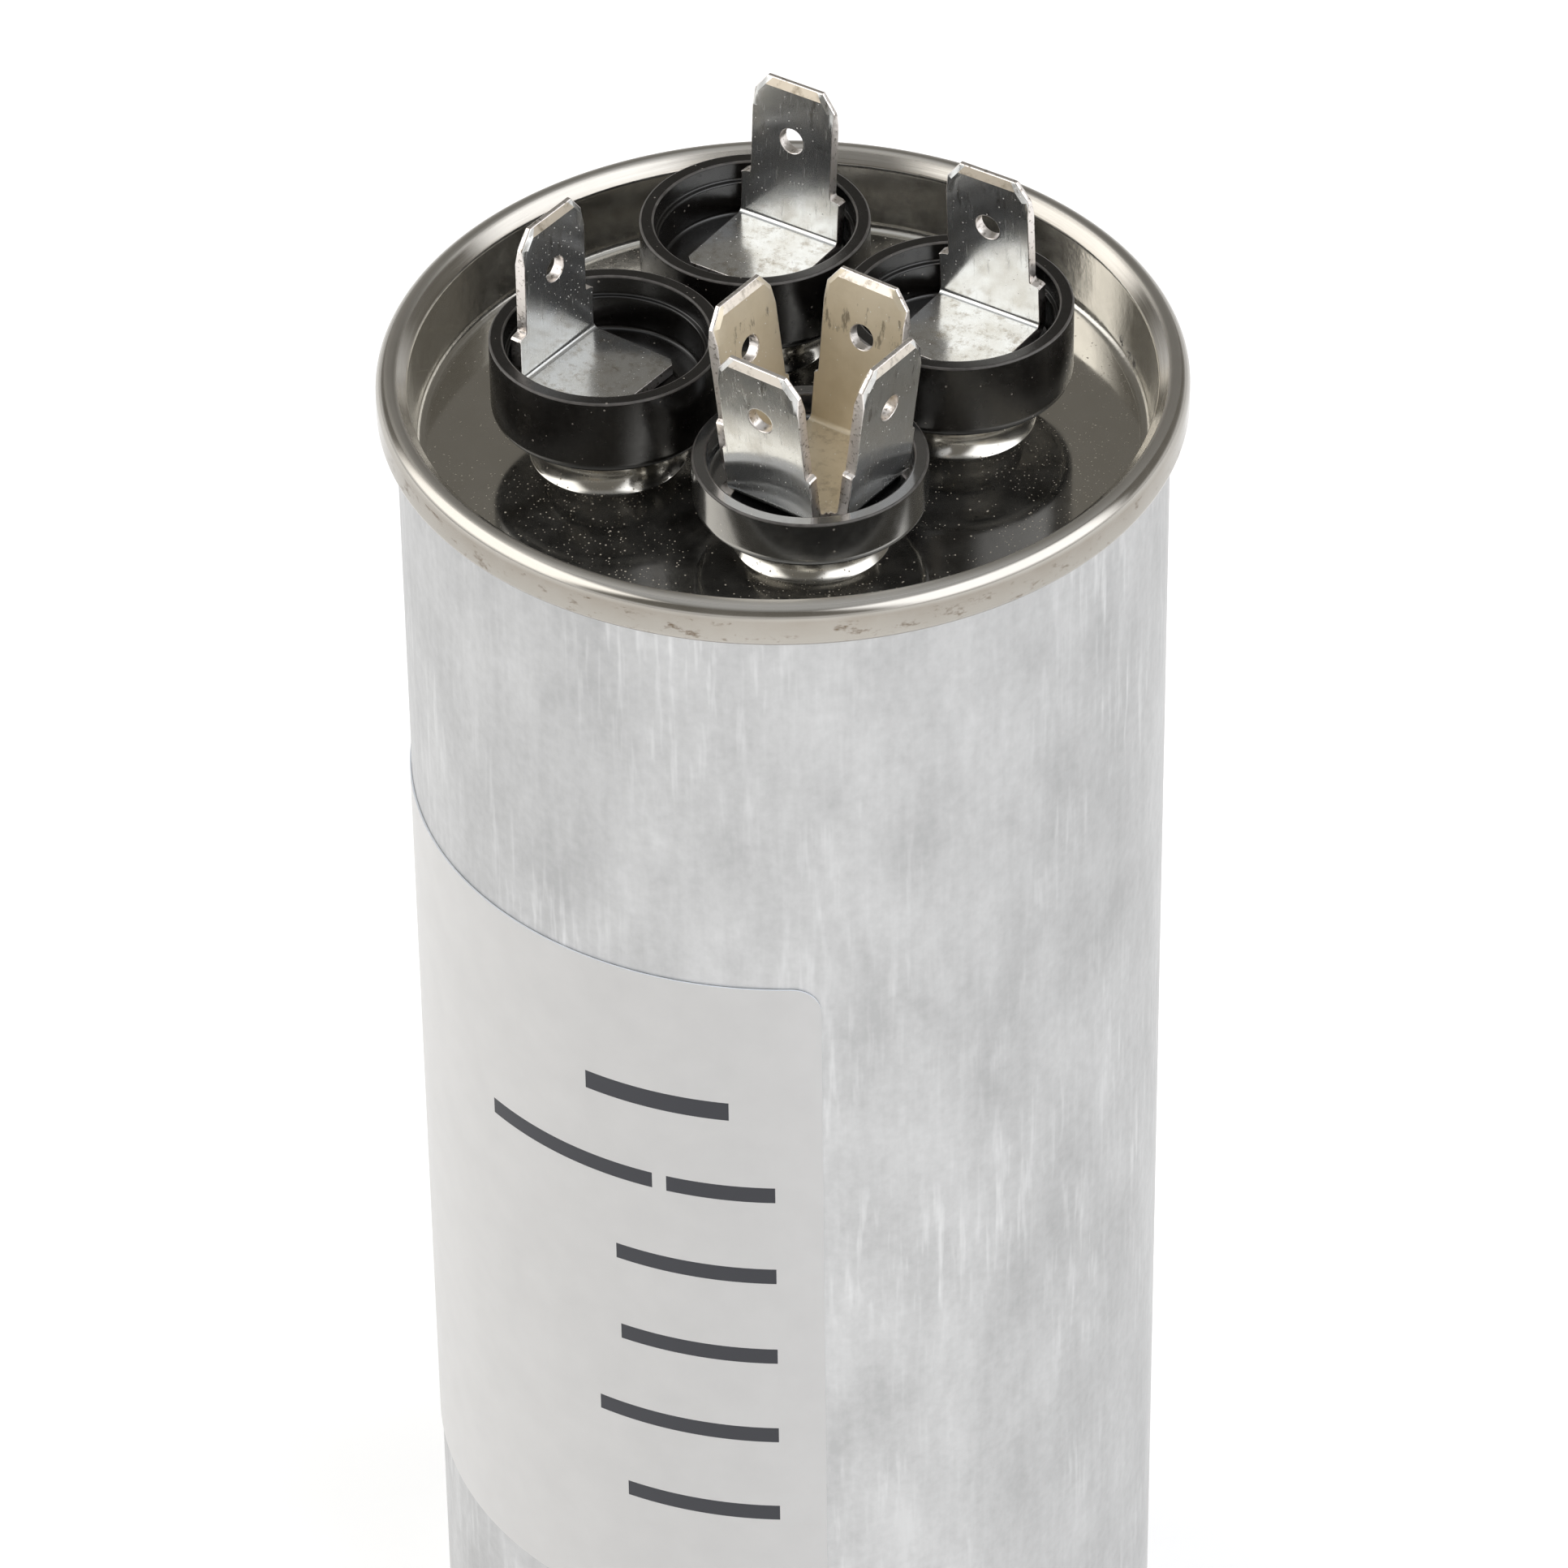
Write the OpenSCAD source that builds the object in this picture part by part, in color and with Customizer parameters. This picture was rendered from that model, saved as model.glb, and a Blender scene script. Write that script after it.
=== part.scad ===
// Motor run capacitor in a round drawn can: a lid is double seamed to the can,
// and three single tabs and one four-blade common tab stand on it in black insulating cups.
// Millimetres, +Z up, origin at the middle of the can's base.

/* [Can] */
// Outside diameter of the can
can_d = 50.8; // [48:0.1:64]
// Height from the base to the top of the seam
can_h = 115; // [95:1:150]
// Thickness of the can's aluminium
can_t = 0.5; // [0.35:0.01:0.6]
// Outside radius of the corner at the base
base_r = 3; // [1.5:0.1:5]

/* [Lid] */
// Thickness of the lid's tinplate
lid_t = 0.35; // [0.25:0.01:0.45]
// Height of the double seam
seam_h = 3.06; // [2.95:0.01:4]
// Room between the folded layers of the seam
seam_gap = 0.01; // [0.005:0.005:0.03]
// Radius of the seam's rounded top
crown_r = 0.67; // [0.6:0.01:0.8]
// Slope of the seam's top down to the inside, in degrees
crown_slope = 37; // [30:1:45]
// Depth of the panel below the top of the seam
panel_depth = 5.5; // [4.5:0.1:7]
// Radius of the bend between the panel and its wall
panel_bend_r = 0.6; // [0.4:0.1:1]
// How far the wall leans in from the seam to the panel
wall_lean = 0.45; // [0:0.05:0.8]

/* [Bosses] */
// Diameter of a boss
boss_d = 9.6; // [9:0.1:11]
// Height of the boss under a section's cup
boss_h = 3.45; // [3:0.05:4.5]
// Height of the boss under the common cup
common_boss_h = 2.9; // [2.7:0.05:4]
// Radius of a boss's rounded shoulder
boss_shoulder_r = 1.2; // [0.8:0.1:1.3]
// Radius of the flare at a boss's foot
boss_foot_r = 0.9; // [0.4:0.1:1.2]

/* [Insulating cups] */
// Outside diameter of a cup
cup_d = 15.3; // [14.8:0.1:16]
// Gap between neighbouring cups
cup_gap = 1.03; // [0.5:0.01:2.5]
// Wall of a cup at its rim
cup_wall = 0.95; // [0.6:0.05:1]
// Height of a section's cup
cup_h = 5.7; // [4.5:0.1:7]
// Height of the common cup
common_cup_h = 3.6; // [2.8:0.1:5]
// Floor of a cup
cup_floor = 1.8; // [1.4:0.05:2]
// Depth of the step inside a cup, below its rim
cup_step_depth = 1.4; // [0.8:0.1:2]
// Width of the step inside a section's cup
cup_step_w = 0.35; // [0.2:0.05:0.4]
// Radius of a cup's lower edge
cup_edge_r = 0.8; // [0.3:0.1:1]

/* [Tabs] */
// Width of a blade
blade_w = 6.3; // [6.2:0.05:6.4]
// Thickness of a blade
blade_t = 0.8; // [0.7:0.05:0.85]
// Height of a section's blade above its foot
blade_h = 10.95; // [9:0.1:13]
// Height of a common blade above its foot
common_blade_h = 11.55; // [9.5:0.05:13]
// Diameter of the hole in a blade
hole_d = 1.8; // [1.3:0.05:2.2]
// Distance of the hole from the blade's tip
hole_drop = 4.25; // [3.5:0.05:4.6]
// Width of the cut on a blade's upper corners
chamfer_w = 1; // [0.6:0.05:1.4]
// Height of the cut on a blade's upper corners
chamfer_h = 1.3; // [0.6:0.05:1.6]
// Height of the coined lead-in at the tip
bevel_h = 0.6; // [0.3:0.05:0.8]
// Depth of the coined lead-in at the tip
bevel_d = 0.25; // [0.1:0.05:0.3]
// Width of a section's foot and of the shoulders above it
foot_w = 7.7; // [7:0.1:7.9]
// Height of the shoulders above the foot
shoulder_h = 3.15; // [2.5:0.05:4]
// Clearance between a section tab's back corners and its cup
tab_gap = 0.2; // [0.15:0.05:0.6]
// From the terminal's axis to the foot's free edge
foot_reach = 2.8; // [2.7:0.05:3.5]
// Cut on the foot's free corners
foot_cut = 0.5; // [0.2:0.05:0.8]
// Inside radius of a section tab's bend
bend_r = 0.4; // [0.2:0.05:0.8]
// Width of a common blade below its shoulders
common_w = 6.9; // [6.6:0.1:7.2]
// Height of the common blades' shoulders above the foot
common_shoulder_h = 3.5; // [2.5:0.05:4.5]
// Inside radius of a common blade's bend
common_bend_r = 0.4; // [0.2:0.05:0.8]
// How far the common blades splay outwards, in degrees
common_splay = 7.5; // [0:0.5:8]
// How far the common tab sits off its cup's middle, along X and along Y
common_off = 0.25; // [0:0.05:0.4]
// Clearance between the common blades' corners and their cup
common_gap = 0.28; // [0.2:0.02:0.5]
// Clearance between the corners of the common tab's square foot and the cup
common_foot_gap = 1.15; // [0.9:0.05:1.4]

/* [Terminal hardware] */
// Diameter of a rivet's shank
rivet_d = 3; // [2.4:0.1:3.4]
// Diameter of a rivet's head, under the tab's foot
rivet_head_d = 5.2; // [4.4:0.1:5.4]
// Thickness of a rivet's head
rivet_head_t = 0.6; // [0.4:0.05:0.7]
// Diameter of the rivet's closed end
clinch_d = 4.6; // [4:0.1:4.8]
// Thickness of the rivet's closed end
clinch_t = 0.7; // [0.4:0.05:0.8]
// Wall of the sleeve that lines the lid's hole
sleeve_wall = 0.6; // [0.4:0.05:0.7]
// Diameter of the insulating washer under the lid
washer_d = 6.6; // [6.2:0.1:6.8]
// Thickness of the insulating washer
washer_t = 1.2; // [0.8:0.1:1.4]
// Thickness of a lead strip
lead_t = 0.3; // [0.2:0.05:0.4]
// Width of a lead strip
lead_w = 3; // [2:0.1:3.2]
// Diameter of a lead's eye, under the washer
lead_eye_d = 5.4; // [5:0.1:5.6]
// From the rivet's axis to the far face of the lead's drop
lead_drop = 3.5; // [3.3:0.05:3.7]
// Clearance around what passes through a hole
hole_gap = 0.05; // [0.02:0.01:0.1]

/* [Winding] */
// Radial room between the winding and the can
winding_gap = 1.7; // [1.2:0.1:3]
// Free space between the lid's panel and the top insulator
head_space = 9; // [7:0.5:14]
// Thickness of the top insulator
top_disc_t = 1; // [0.6:0.1:2]
// Thickness of the base insulator
base_disc_t = 1.5; // [1:0.1:3]
// Thickness of the sprayed zinc ends
zinc_t = 0.5; // [0.3:0.05:1]
// Inside diameter of the winding's core
core_bore = 6; // [5:0.1:7]
// Wall of the winding's core
core_wall = 1; // [0.6:0.1:1.5]
// Bare margin between the sections' zinc rings
zinc_margin = 1.2; // [0.6:0.1:1.6]
// Room around a lead in the top insulator
slot_gap = 0.3; // [0.2:0.05:0.6]

/* [Label] */
// Thickness of the label
label_t = 0.12; // [0.08:0.01:0.2]
// Room for the glue under the label
label_glue = 0.02; // [0.01:0.01:0.05]
// Height of the label
label_h = 58; // [40:1:60]
// From the top of the seam down to the label
label_drop = 32; // [20:0.5:34]
// How far the label runs round the can, in degrees
label_span = 205; // [120:1:300]
// Where the label starts, in degrees from +X
label_start = -254; // [-300:1:0]
// Radius of the label's corners
label_corner = 2; // [1:0.1:4]

/* [Hidden] */
$fn = 96;
eps = 0.02;
arc_steps = 8;
overcut = 5;

// The sections' terminals come first, the common one is the fourth
common = 3;
terminal_angle = [45, 135, 225, 315];
// Way that each foot points from its blade, and how far each blade leans over its foot
foot_angle = [-87, -87, -0.5];
tab_lean = [3, -4, 0];

can_r = can_d / 2;
can_in = can_r - can_t;
panel_z = can_h - panel_depth;
// The terminals stand on the corners of a square
terminal_r = (cup_d + cup_gap) / sqrt(2);

// Layers of the double seam, from the inside out
wall_mid = can_in - seam_gap - lid_t / 2;
body_mid = can_r - can_t / 2;
cover_hook_mid = can_r + seam_gap + lid_t / 2;
body_hook_mid = cover_hook_mid + lid_t / 2 + seam_gap + can_t / 2;
skirt_mid = body_hook_mid + can_t / 2 + seam_gap + lid_t / 2;
seam_r = skirt_mid + lid_t / 2;
fold_r = (body_hook_mid - body_mid) / 2;
tuck_r = (skirt_mid - cover_hook_mid) / 2;

// Crown of the seam: an arc on the outside, then a straight slope to the wall
crown_mid_r = crown_r - lid_t / 2;
crown_c = [seam_r - crown_r, can_h - crown_r];
crown_end = crown_c + crown_mid_r * [-sin(crown_slope), cos(crown_slope)];
slope_foot = [wall_mid, crown_end[1] - (crown_end[0] - wall_mid) * tan(crown_slope)];
tuck_z = can_h - seam_h + tuck_r + lid_t / 2;
// The fold of the can's edge just clears the underside of the slope
fold_z = slope_foot[1] + ((body_mid + fold_r) - wall_mid) * tan(crown_slope)
         - (fold_r + can_t / 2 + lid_t / 2 + seam_gap) / cos(crown_slope);
body_hook_end = tuck_z - seam_gap;
cover_hook_end = fold_z - seam_gap;

panel_bend_mid = panel_bend_r + lid_t / 2;
panel_mid_z = panel_z - lid_t / 2;
panel_wall_r = wall_mid - wall_lean;

cup_r = cup_d / 2;
cup_bore = cup_r - cup_wall;
// From a terminal's axis to a section blade's front face, which its back corners in the bore set
blade_setback = chord(cup_bore - cup_step_w, foot_w / 2) - blade_t - tab_gap;
// From the common tab's middle to the middle of a blade at its bend, and half the width of its foot
common_reach = chord(cup_bore - common_gap, common_w / 2 + common_off) - blade_t / 2 - common_off;
common_foot = (cup_bore - common_foot_gap) / sqrt(2) - common_off;
boss_r = boss_d / 2;
rivet_r = rivet_d / 2;
rivet_hole_r = rivet_r + hole_gap;
sleeve_r = rivet_hole_r + sleeve_wall;
lid_hole_r = sleeve_r + hole_gap;

winding_r = can_in - winding_gap;
base_disc_r = can_r - base_r;
base_disc_z = can_t;
zinc_bottom_z = base_disc_z + base_disc_t;
winding_z = zinc_bottom_z + zinc_t;
top_disc_top = panel_z - lid_t - head_space;
top_disc_z = top_disc_top - top_disc_t;
zinc_top_z = top_disc_z - zinc_t;
core_r = core_bore / 2 + core_wall;
drop_mid = lead_drop - lead_t / 2;
// Where each section's lead lands: inwards, outwards, and outwards past a step
landing_r = [terminal_r - drop_mid, terminal_r + drop_mid, (terminal_r + drop_mid + winding_r) / 2];
lead_step_z = top_disc_top + head_space / 2;
ring_edge = [core_r, (landing_r[0] + landing_r[1]) / 2, (landing_r[1] + landing_r[2]) / 2, winding_r];

// Distance from a circle's middle to a chord of that half width
function chord(r, half) = sqrt(r * r - half * half);
function boss_height(i) = i == common ? common_boss_h : boss_h;
function boss_top(i) = panel_z + boss_height(i);
function cup_height(i) = i == common ? common_cup_h : cup_h;
function foot_top(i) = boss_top(i) + cup_floor + blade_t;
function lead_top(i) = boss_top(i) - lid_t - washer_t;

// Points of an arc about c, from angle a to angle b
function arc(c, r, a, b) =
    [for (i = [0 : arc_steps]) let(t = a + (b - a) * i / arc_steps) c + r * [cos(t), sin(t)]];

// Outline of a sheet of even thickness t that follows the middle line p
function way(p, i) = (p[i + 1] - p[i]) / norm(p[i + 1] - p[i]);
function side(d) = [-d[1], d[0]];
function corner(p, i) =
    let(a = side(way(p, max(i - 1, 0))), b = side(way(p, min(i, len(p) - 2))))
    (a + b) / (1 + a * b);
function sheet(p, t) =
    concat([for (i = [0 : len(p) - 1]) p[i] + corner(p, i) * t / 2],
           [for (i = [len(p) - 1 : -1 : 0]) p[i] - corner(p, i) * t / 2]);

module at_terminal(i) {
    rotate(terminal_angle[i]) translate([terminal_r, 0, 0]) children();
}

// Sits at a terminal's place, unturned
module over_terminal(i) {
    translate(terminal_r * [cos(terminal_angle[i]), sin(terminal_angle[i]), 0]) children();
}

// Side outline in XZ, carried across the width w along Y
module across(w) {
    rotate([90, 0, 0]) translate([0, 0, -w / 2]) linear_extrude(w) children();
}

module tube(r_out, r_in, h) {
    difference() {
        cylinder(r = r_out, h = h);
        translate([0, 0, -overcut]) cylinder(r = r_in, h = h + 2 * overcut);
    }
}

// Drawn can: base, wall, and the edge folded out and down inside the seam
module can() {
    line = concat([[0, can_t / 2]],
                  arc([can_r - base_r, base_r], base_r - can_t / 2, -90, 0),
                  arc([body_mid + fold_r, fold_z], fold_r, 180, 0),
                  [[body_hook_mid, body_hook_end]]);
    color("lightgray") rotate_extrude() polygon(sheet(line, can_t));
}

// Sheet of the lid from its middle out to the hook under the can's folded edge
module lid_sheet() {
    line = concat([[0, panel_mid_z]],
                  arc([panel_wall_r - panel_bend_mid, panel_mid_z + panel_bend_mid], panel_bend_mid, -90, 0),
                  [slope_foot],
                  arc(crown_c, crown_mid_r, 90 + crown_slope, 0),
                  arc([skirt_mid - tuck_r, tuck_z], tuck_r, 0, -180),
                  [[cover_hook_mid, cover_hook_end]]);
    rotate_extrude() polygon(sheet(line, lid_t));
}

// Plug of a boss, with a round shoulder and a flared foot; cut is what is taken off it all round
module boss_plug(h, cut) {
    flare = boss_r + boss_foot_r;
    low = cut > 0 ? -lid_t - overcut : -lid_t;
    rotate_extrude() polygon(concat([[0, low], [flare, low]],
                                    arc([flare, boss_foot_r], boss_foot_r + cut, 270, 180),
                                    arc([boss_r, h] - [1, 1] * boss_shoulder_r, boss_shoulder_r - cut, 0, 90),
                                    [[0, h - cut]]));
}

// Drawn lid: recessed panel with four bosses, wall, and rolled seam
module lid() {
    color("silver") difference() {
        union() {
            lid_sheet();
            for (i = [0 : common]) at_terminal(i) translate([0, 0, panel_z]) boss_plug(boss_height(i), 0);
        }
        for (i = [0 : common]) at_terminal(i) {
            translate([0, 0, panel_z]) boss_plug(boss_height(i), lid_t);
            translate([0, 0, boss_top(i) - overcut]) cylinder(r = lid_hole_r, h = 2 * overcut);
        }
    }
}

// Moulded cup on a boss: stepped bore, recess for the rivet's head, sleeve through the lid
module cup(i) {
    h = cup_height(i);
    // The shallow cup has a plain bore, which its square foot fills
    step = i == common ? 0 : cup_step_w;
    color("dimgray") at_terminal(i) translate([0, 0, boss_top(i)]) difference() {
        union() {
            rotate_extrude() polygon(concat([[0, 0]], arc([cup_r - cup_edge_r, cup_edge_r], cup_edge_r, -90, 0),
                                            [[cup_r, h], [0, h]]));
            translate([0, 0, -lid_t]) cylinder(r = sleeve_r, h = lid_t + eps);
        }
        translate([0, 0, cup_floor]) cylinder(r = cup_bore - step, h = h);
        translate([0, 0, h - cup_step_depth]) cylinder(r = cup_bore, h = h);
        translate([0, 0, cup_floor - rivet_head_t]) cylinder(r = rivet_head_d / 2 + hole_gap, h = h);
        translate([0, 0, -overcut]) cylinder(r = rivet_hole_r, h = h + overcut);
    }
}

// What a blade loses: its sides above the shoulders, its upper corners, its hole and its coined tip.
// Drawn with the blade upright, its front face on x = 0 and its foot on z = 0
module blade_cuts(h, shoulder) {
    half = blade_w / 2;
    for (s = [-1, 1]) {
        translate([-overcut, s > 0 ? half : -half - overcut, shoulder]) cube([2 * overcut, overcut, h]);
        rotate([90, 0, 90]) translate([0, 0, -overcut]) linear_extrude(2 * overcut)
            polygon([[s * (half - chamfer_w), h + eps], [s * (half + eps), h + eps],
                     [s * (half + eps), h - chamfer_h], [s * half, h - chamfer_h], [s * (half - chamfer_w), h]]);
    }
    translate([-overcut, 0, h - hole_drop]) rotate([0, 90, 0]) cylinder(d = hole_d, h = 2 * overcut);
    across(foot_w + overcut) for (s = [0, 1])
        translate([s * -blade_t, 0]) mirror([s, 0]) polygon([[eps, h - bevel_h], [eps, h + eps],
                                                              [-bevel_d, h + eps], [-bevel_d, h], [0, h - bevel_h]]);
}

// Single tab: a foot on the cup's floor and a blade bent up from its back edge
module section_tab(i) {
    lean = tab_lean[i];
    bend = bend_r + blade_t / 2;
    pivot = [-blade_setback + bend_r, bend_r];
    tip = pivot - bend * [cos(lean), -sin(lean)] + (blade_h - bend_r) * [sin(lean), cos(lean)];
    line = concat([[foot_reach, -blade_t / 2]], arc(pivot, bend, 270, 180 - lean), [tip]);
    color("gainsboro") over_terminal(i) translate([0, 0, foot_top(i)]) rotate(foot_angle[i]) difference() {
        across(foot_w) polygon(sheet(line, blade_t));
        translate([pivot[0], 0, pivot[1]]) rotate([0, lean, 0]) translate([-bend_r, 0, -bend_r])
            blade_cuts(blade_h, shoulder_h);
        for (s = [-1, 1]) translate([foot_reach, s * foot_w / 2, -overcut])
            linear_extrude(2 * overcut) polygon([[eps, 0], [eps, -s * foot_cut], [0, -s * foot_cut],
                                                 [-foot_cut, 0], [-foot_cut, s * eps], [eps, s * eps]]);
    }
}

// Common tab: a square foot with a blade bent up from each side
module common_tab() {
    bend = common_bend_r + blade_t / 2;
    pivot = [-common_reach + bend, common_bend_r];
    tip = pivot - bend * [cos(common_splay), sin(common_splay)]
          + (common_blade_h - common_bend_r) * [-sin(common_splay), cos(common_splay)];
    line = concat([[0, -blade_t / 2]], arc(pivot, bend, 270, 180 + common_splay), [tip]);
    place = [common_off, common_off, foot_top(common)];
    color("gainsboro") over_terminal(common) translate(place) union() {
        for (a = [0 : 90 : 270]) rotate(a) difference() {
            across(common_w) polygon(sheet(line, blade_t));
            translate([pivot[0], 0, pivot[1]]) rotate([0, -common_splay, 0])
                translate([-common_bend_r, 0, -common_bend_r]) blade_cuts(common_blade_h, common_shoulder_h);
        }
        for (a = [0 : 90 : 270]) rotate(a)
            translate([0, 0, -blade_t]) linear_extrude(blade_t)
                polygon([[0, 0], [common_foot, common_foot - blade_t], [common_foot, common_foot],
                         [common_foot - blade_t, common_foot]]);
    }
}

// Rivet: head in the cup's floor, shank through cup, lid and washer, closed end under the lead
module rivet(i) {
    top = boss_top(i) + cup_floor;
    closed = lead_top(i) - lead_t;
    color("darkgray") at_terminal(i) {
        translate([0, 0, top - rivet_head_t]) cylinder(d = rivet_head_d, h = rivet_head_t);
        translate([0, 0, closed - clinch_t]) cylinder(d = rivet_d, h = top - closed + clinch_t - eps);
        translate([0, 0, closed - clinch_t]) cylinder(d = clinch_d, h = clinch_t);
    }
}

// Insulating washer between the lid and the lead's eye
module washer(i) {
    color("tan") at_terminal(i) translate([0, 0, lead_top(i)]) tube(washer_d / 2, rivet_hole_r, washer_t);
}

// Flat strip from one place on a terminal's radius to another, at height z
module lead_run(from, to, z) {
    translate([min(from, to) - lead_t / 2, -lead_w / 2, z]) cube([abs(to - from) + lead_t, lead_w, lead_t]);
}

module lead_fall(r, low, high) {
    translate([r - lead_t / 2, -lead_w / 2, low]) cube([lead_t, lead_w, high - low]);
}

// Lead: an eye on the rivet, and a strip that drops to its zinc end
module lead(i) {
    z = lead_top(i) - lead_t;
    way_in = i == 0 || i == common;
    first_r = terminal_r + (way_in ? -drop_mid : drop_mid);
    last_r = i == common ? 0 : landing_r[i];
    low = i == common ? winding_z : top_disc_z;
    color("goldenrod") rotate(terminal_angle[i]) difference() {
        union() {
            translate([terminal_r, 0, z]) cylinder(d = lead_eye_d, h = lead_t);
            lead_run(terminal_r, first_r, z);
            lead_fall(first_r, first_r == last_r ? low : lead_step_z, z + lead_t);
            if (first_r != last_r) {
                lead_run(first_r, last_r, lead_step_z);
                lead_fall(last_r, low, lead_step_z + lead_t);
            }
        }
        translate([terminal_r, 0, z - overcut]) cylinder(r = rivet_hole_r, h = 2 * overcut);
    }
}

// Disc between the winding and the lid, with a slot for each lead
module top_insulator() {
    color("wheat") translate([0, 0, top_disc_z]) difference() {
        cylinder(r = winding_r, h = top_disc_t);
        translate([0, 0, -overcut]) cylinder(d = core_bore, h = 2 * overcut);
        for (i = [0 : common - 1]) rotate(terminal_angle[i])
            translate([landing_r[i] - lead_t / 2 - slot_gap, -lead_w / 2 - slot_gap, -overcut])
                cube([lead_t + 2 * slot_gap, lead_w + 2 * slot_gap, 2 * overcut]);
    }
}

// Disc between the winding and the can's base
module base_insulator() {
    color("wheat") translate([0, 0, base_disc_z]) cylinder(r = base_disc_r, h = base_disc_t);
}

// Metallised film wound round the core, one roll
module film_winding() {
    color("lightsteelblue") translate([0, 0, winding_z]) tube(winding_r, core_r, zinc_top_z - winding_z);
}

// Tube that the film is wound on
module winding_core() {
    color("ivory") translate([0, 0, winding_z]) tube(core_r, core_bore / 2, top_disc_z - winding_z);
}

// Sprayed zinc ring on one section's end of the roll
module zinc_section(i) {
    inner = ring_edge[i] + (i == 0 ? 0 : zinc_margin / 2);
    outer = ring_edge[i + 1] - (i == 2 ? 0 : zinc_margin / 2);
    color("gray") translate([0, 0, zinc_top_z]) tube(outer, inner, zinc_t);
}

// Sprayed zinc under the whole roll, which the common lead meets through the core
module zinc_common() {
    color("gray") translate([0, 0, zinc_bottom_z]) cylinder(r = base_disc_r, h = zinc_t);
}

// Takes the square corner off a label; the corner is at the origin, the label lies towards +Y and +Z
module corner_cut() {
    rotate([90, 0, 90]) translate([0, 0, -overcut]) linear_extrude(2 * overcut)
        polygon(concat([[-eps, -eps], [label_corner, -eps]],
                       arc([label_corner, label_corner], label_corner + eps / 2, 270, 180),
                       [[-eps, label_corner]]));
}

// Film label round part of the can
module label() {
    low = can_h - label_drop - label_h;
    color("whitesmoke") difference() {
        translate([0, 0, low]) rotate(label_start) rotate_extrude(angle = label_span)
            translate([can_r + label_glue, 0]) square([label_t, label_h]);
        for (end = [0, 1], top = [0, 1])
            rotate(label_start + end * label_span) translate([can_r, 0, low + top * label_h])
                mirror([0, end, 0]) mirror([0, 0, top]) corner_cut();
    }
}

can();
lid();
label();
for (i = [0 : common]) {
    name = i == common ? "common" : str("section_", i + 1);
    cup(i);
    rivet(i);
    washer(i);
    lead(i);
}
for (i = [0 : common - 1]) {
    section_tab(i);
    zinc_section(i);
}
common_tab();  // tab_common
zinc_common();
top_insulator();
base_insulator();
film_winding();
winding_core();
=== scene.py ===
import math

import bmesh
import bpy
import numpy as np
from mathutils import Matrix, Vector


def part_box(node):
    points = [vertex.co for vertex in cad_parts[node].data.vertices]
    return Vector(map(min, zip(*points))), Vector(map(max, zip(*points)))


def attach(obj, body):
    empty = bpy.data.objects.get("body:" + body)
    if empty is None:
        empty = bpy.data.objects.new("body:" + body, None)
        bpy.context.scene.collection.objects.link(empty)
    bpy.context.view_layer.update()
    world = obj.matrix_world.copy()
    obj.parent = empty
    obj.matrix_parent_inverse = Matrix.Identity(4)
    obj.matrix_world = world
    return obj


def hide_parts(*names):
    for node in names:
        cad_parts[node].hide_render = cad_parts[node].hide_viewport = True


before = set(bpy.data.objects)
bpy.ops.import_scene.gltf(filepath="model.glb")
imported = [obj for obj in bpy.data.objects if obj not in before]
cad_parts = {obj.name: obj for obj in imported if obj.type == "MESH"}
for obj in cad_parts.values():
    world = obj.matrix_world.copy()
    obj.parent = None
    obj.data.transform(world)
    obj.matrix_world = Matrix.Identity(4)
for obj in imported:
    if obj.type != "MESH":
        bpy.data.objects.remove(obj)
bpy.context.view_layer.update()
mm = 0.001
print("frame loaded with", len(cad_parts), "nodes")


# Tools shared by the pieces

def linear(colour):
    # sRGB hex to linear colour
    c = np.array([int(colour[k:k + 2], 16) for k in (1, 3, 5)]) / 255
    c = np.where(c <= 0.04045, c / 12.92, ((c + 0.055) / 1.055) ** 2.4)
    return (*c.tolist(), 1.0)


def setInputs(tree, node, inputs):
    # another node's output is linked, and anything else becomes the input's own value
    for key, value in inputs.items():
        if isinstance(value, bpy.types.NodeSocket):
            tree.links.new(value, node.inputs[key])
        else:
            node.inputs[key].default_value = value


def addNode(tree, kind, inputs=None, **settings):
    node = tree.nodes.new("ShaderNode" + kind)
    for key, value in settings.items():
        setattr(node, key, value)
    setInputs(tree, node, inputs or {})
    return node


def newMaterial(name):
    material = bpy.data.materials.new(name)
    material.use_nodes = True
    tree = material.node_tree
    place = addNode(tree, "TexCoord").outputs["Object"]
    return material, tree, tree.nodes["Principled BSDF"], place


def boxMm(node):
    # lowest and highest corner of a node, in millimetres
    low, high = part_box(node)
    return np.array(low) / mm, np.array(high) / mm


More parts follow.
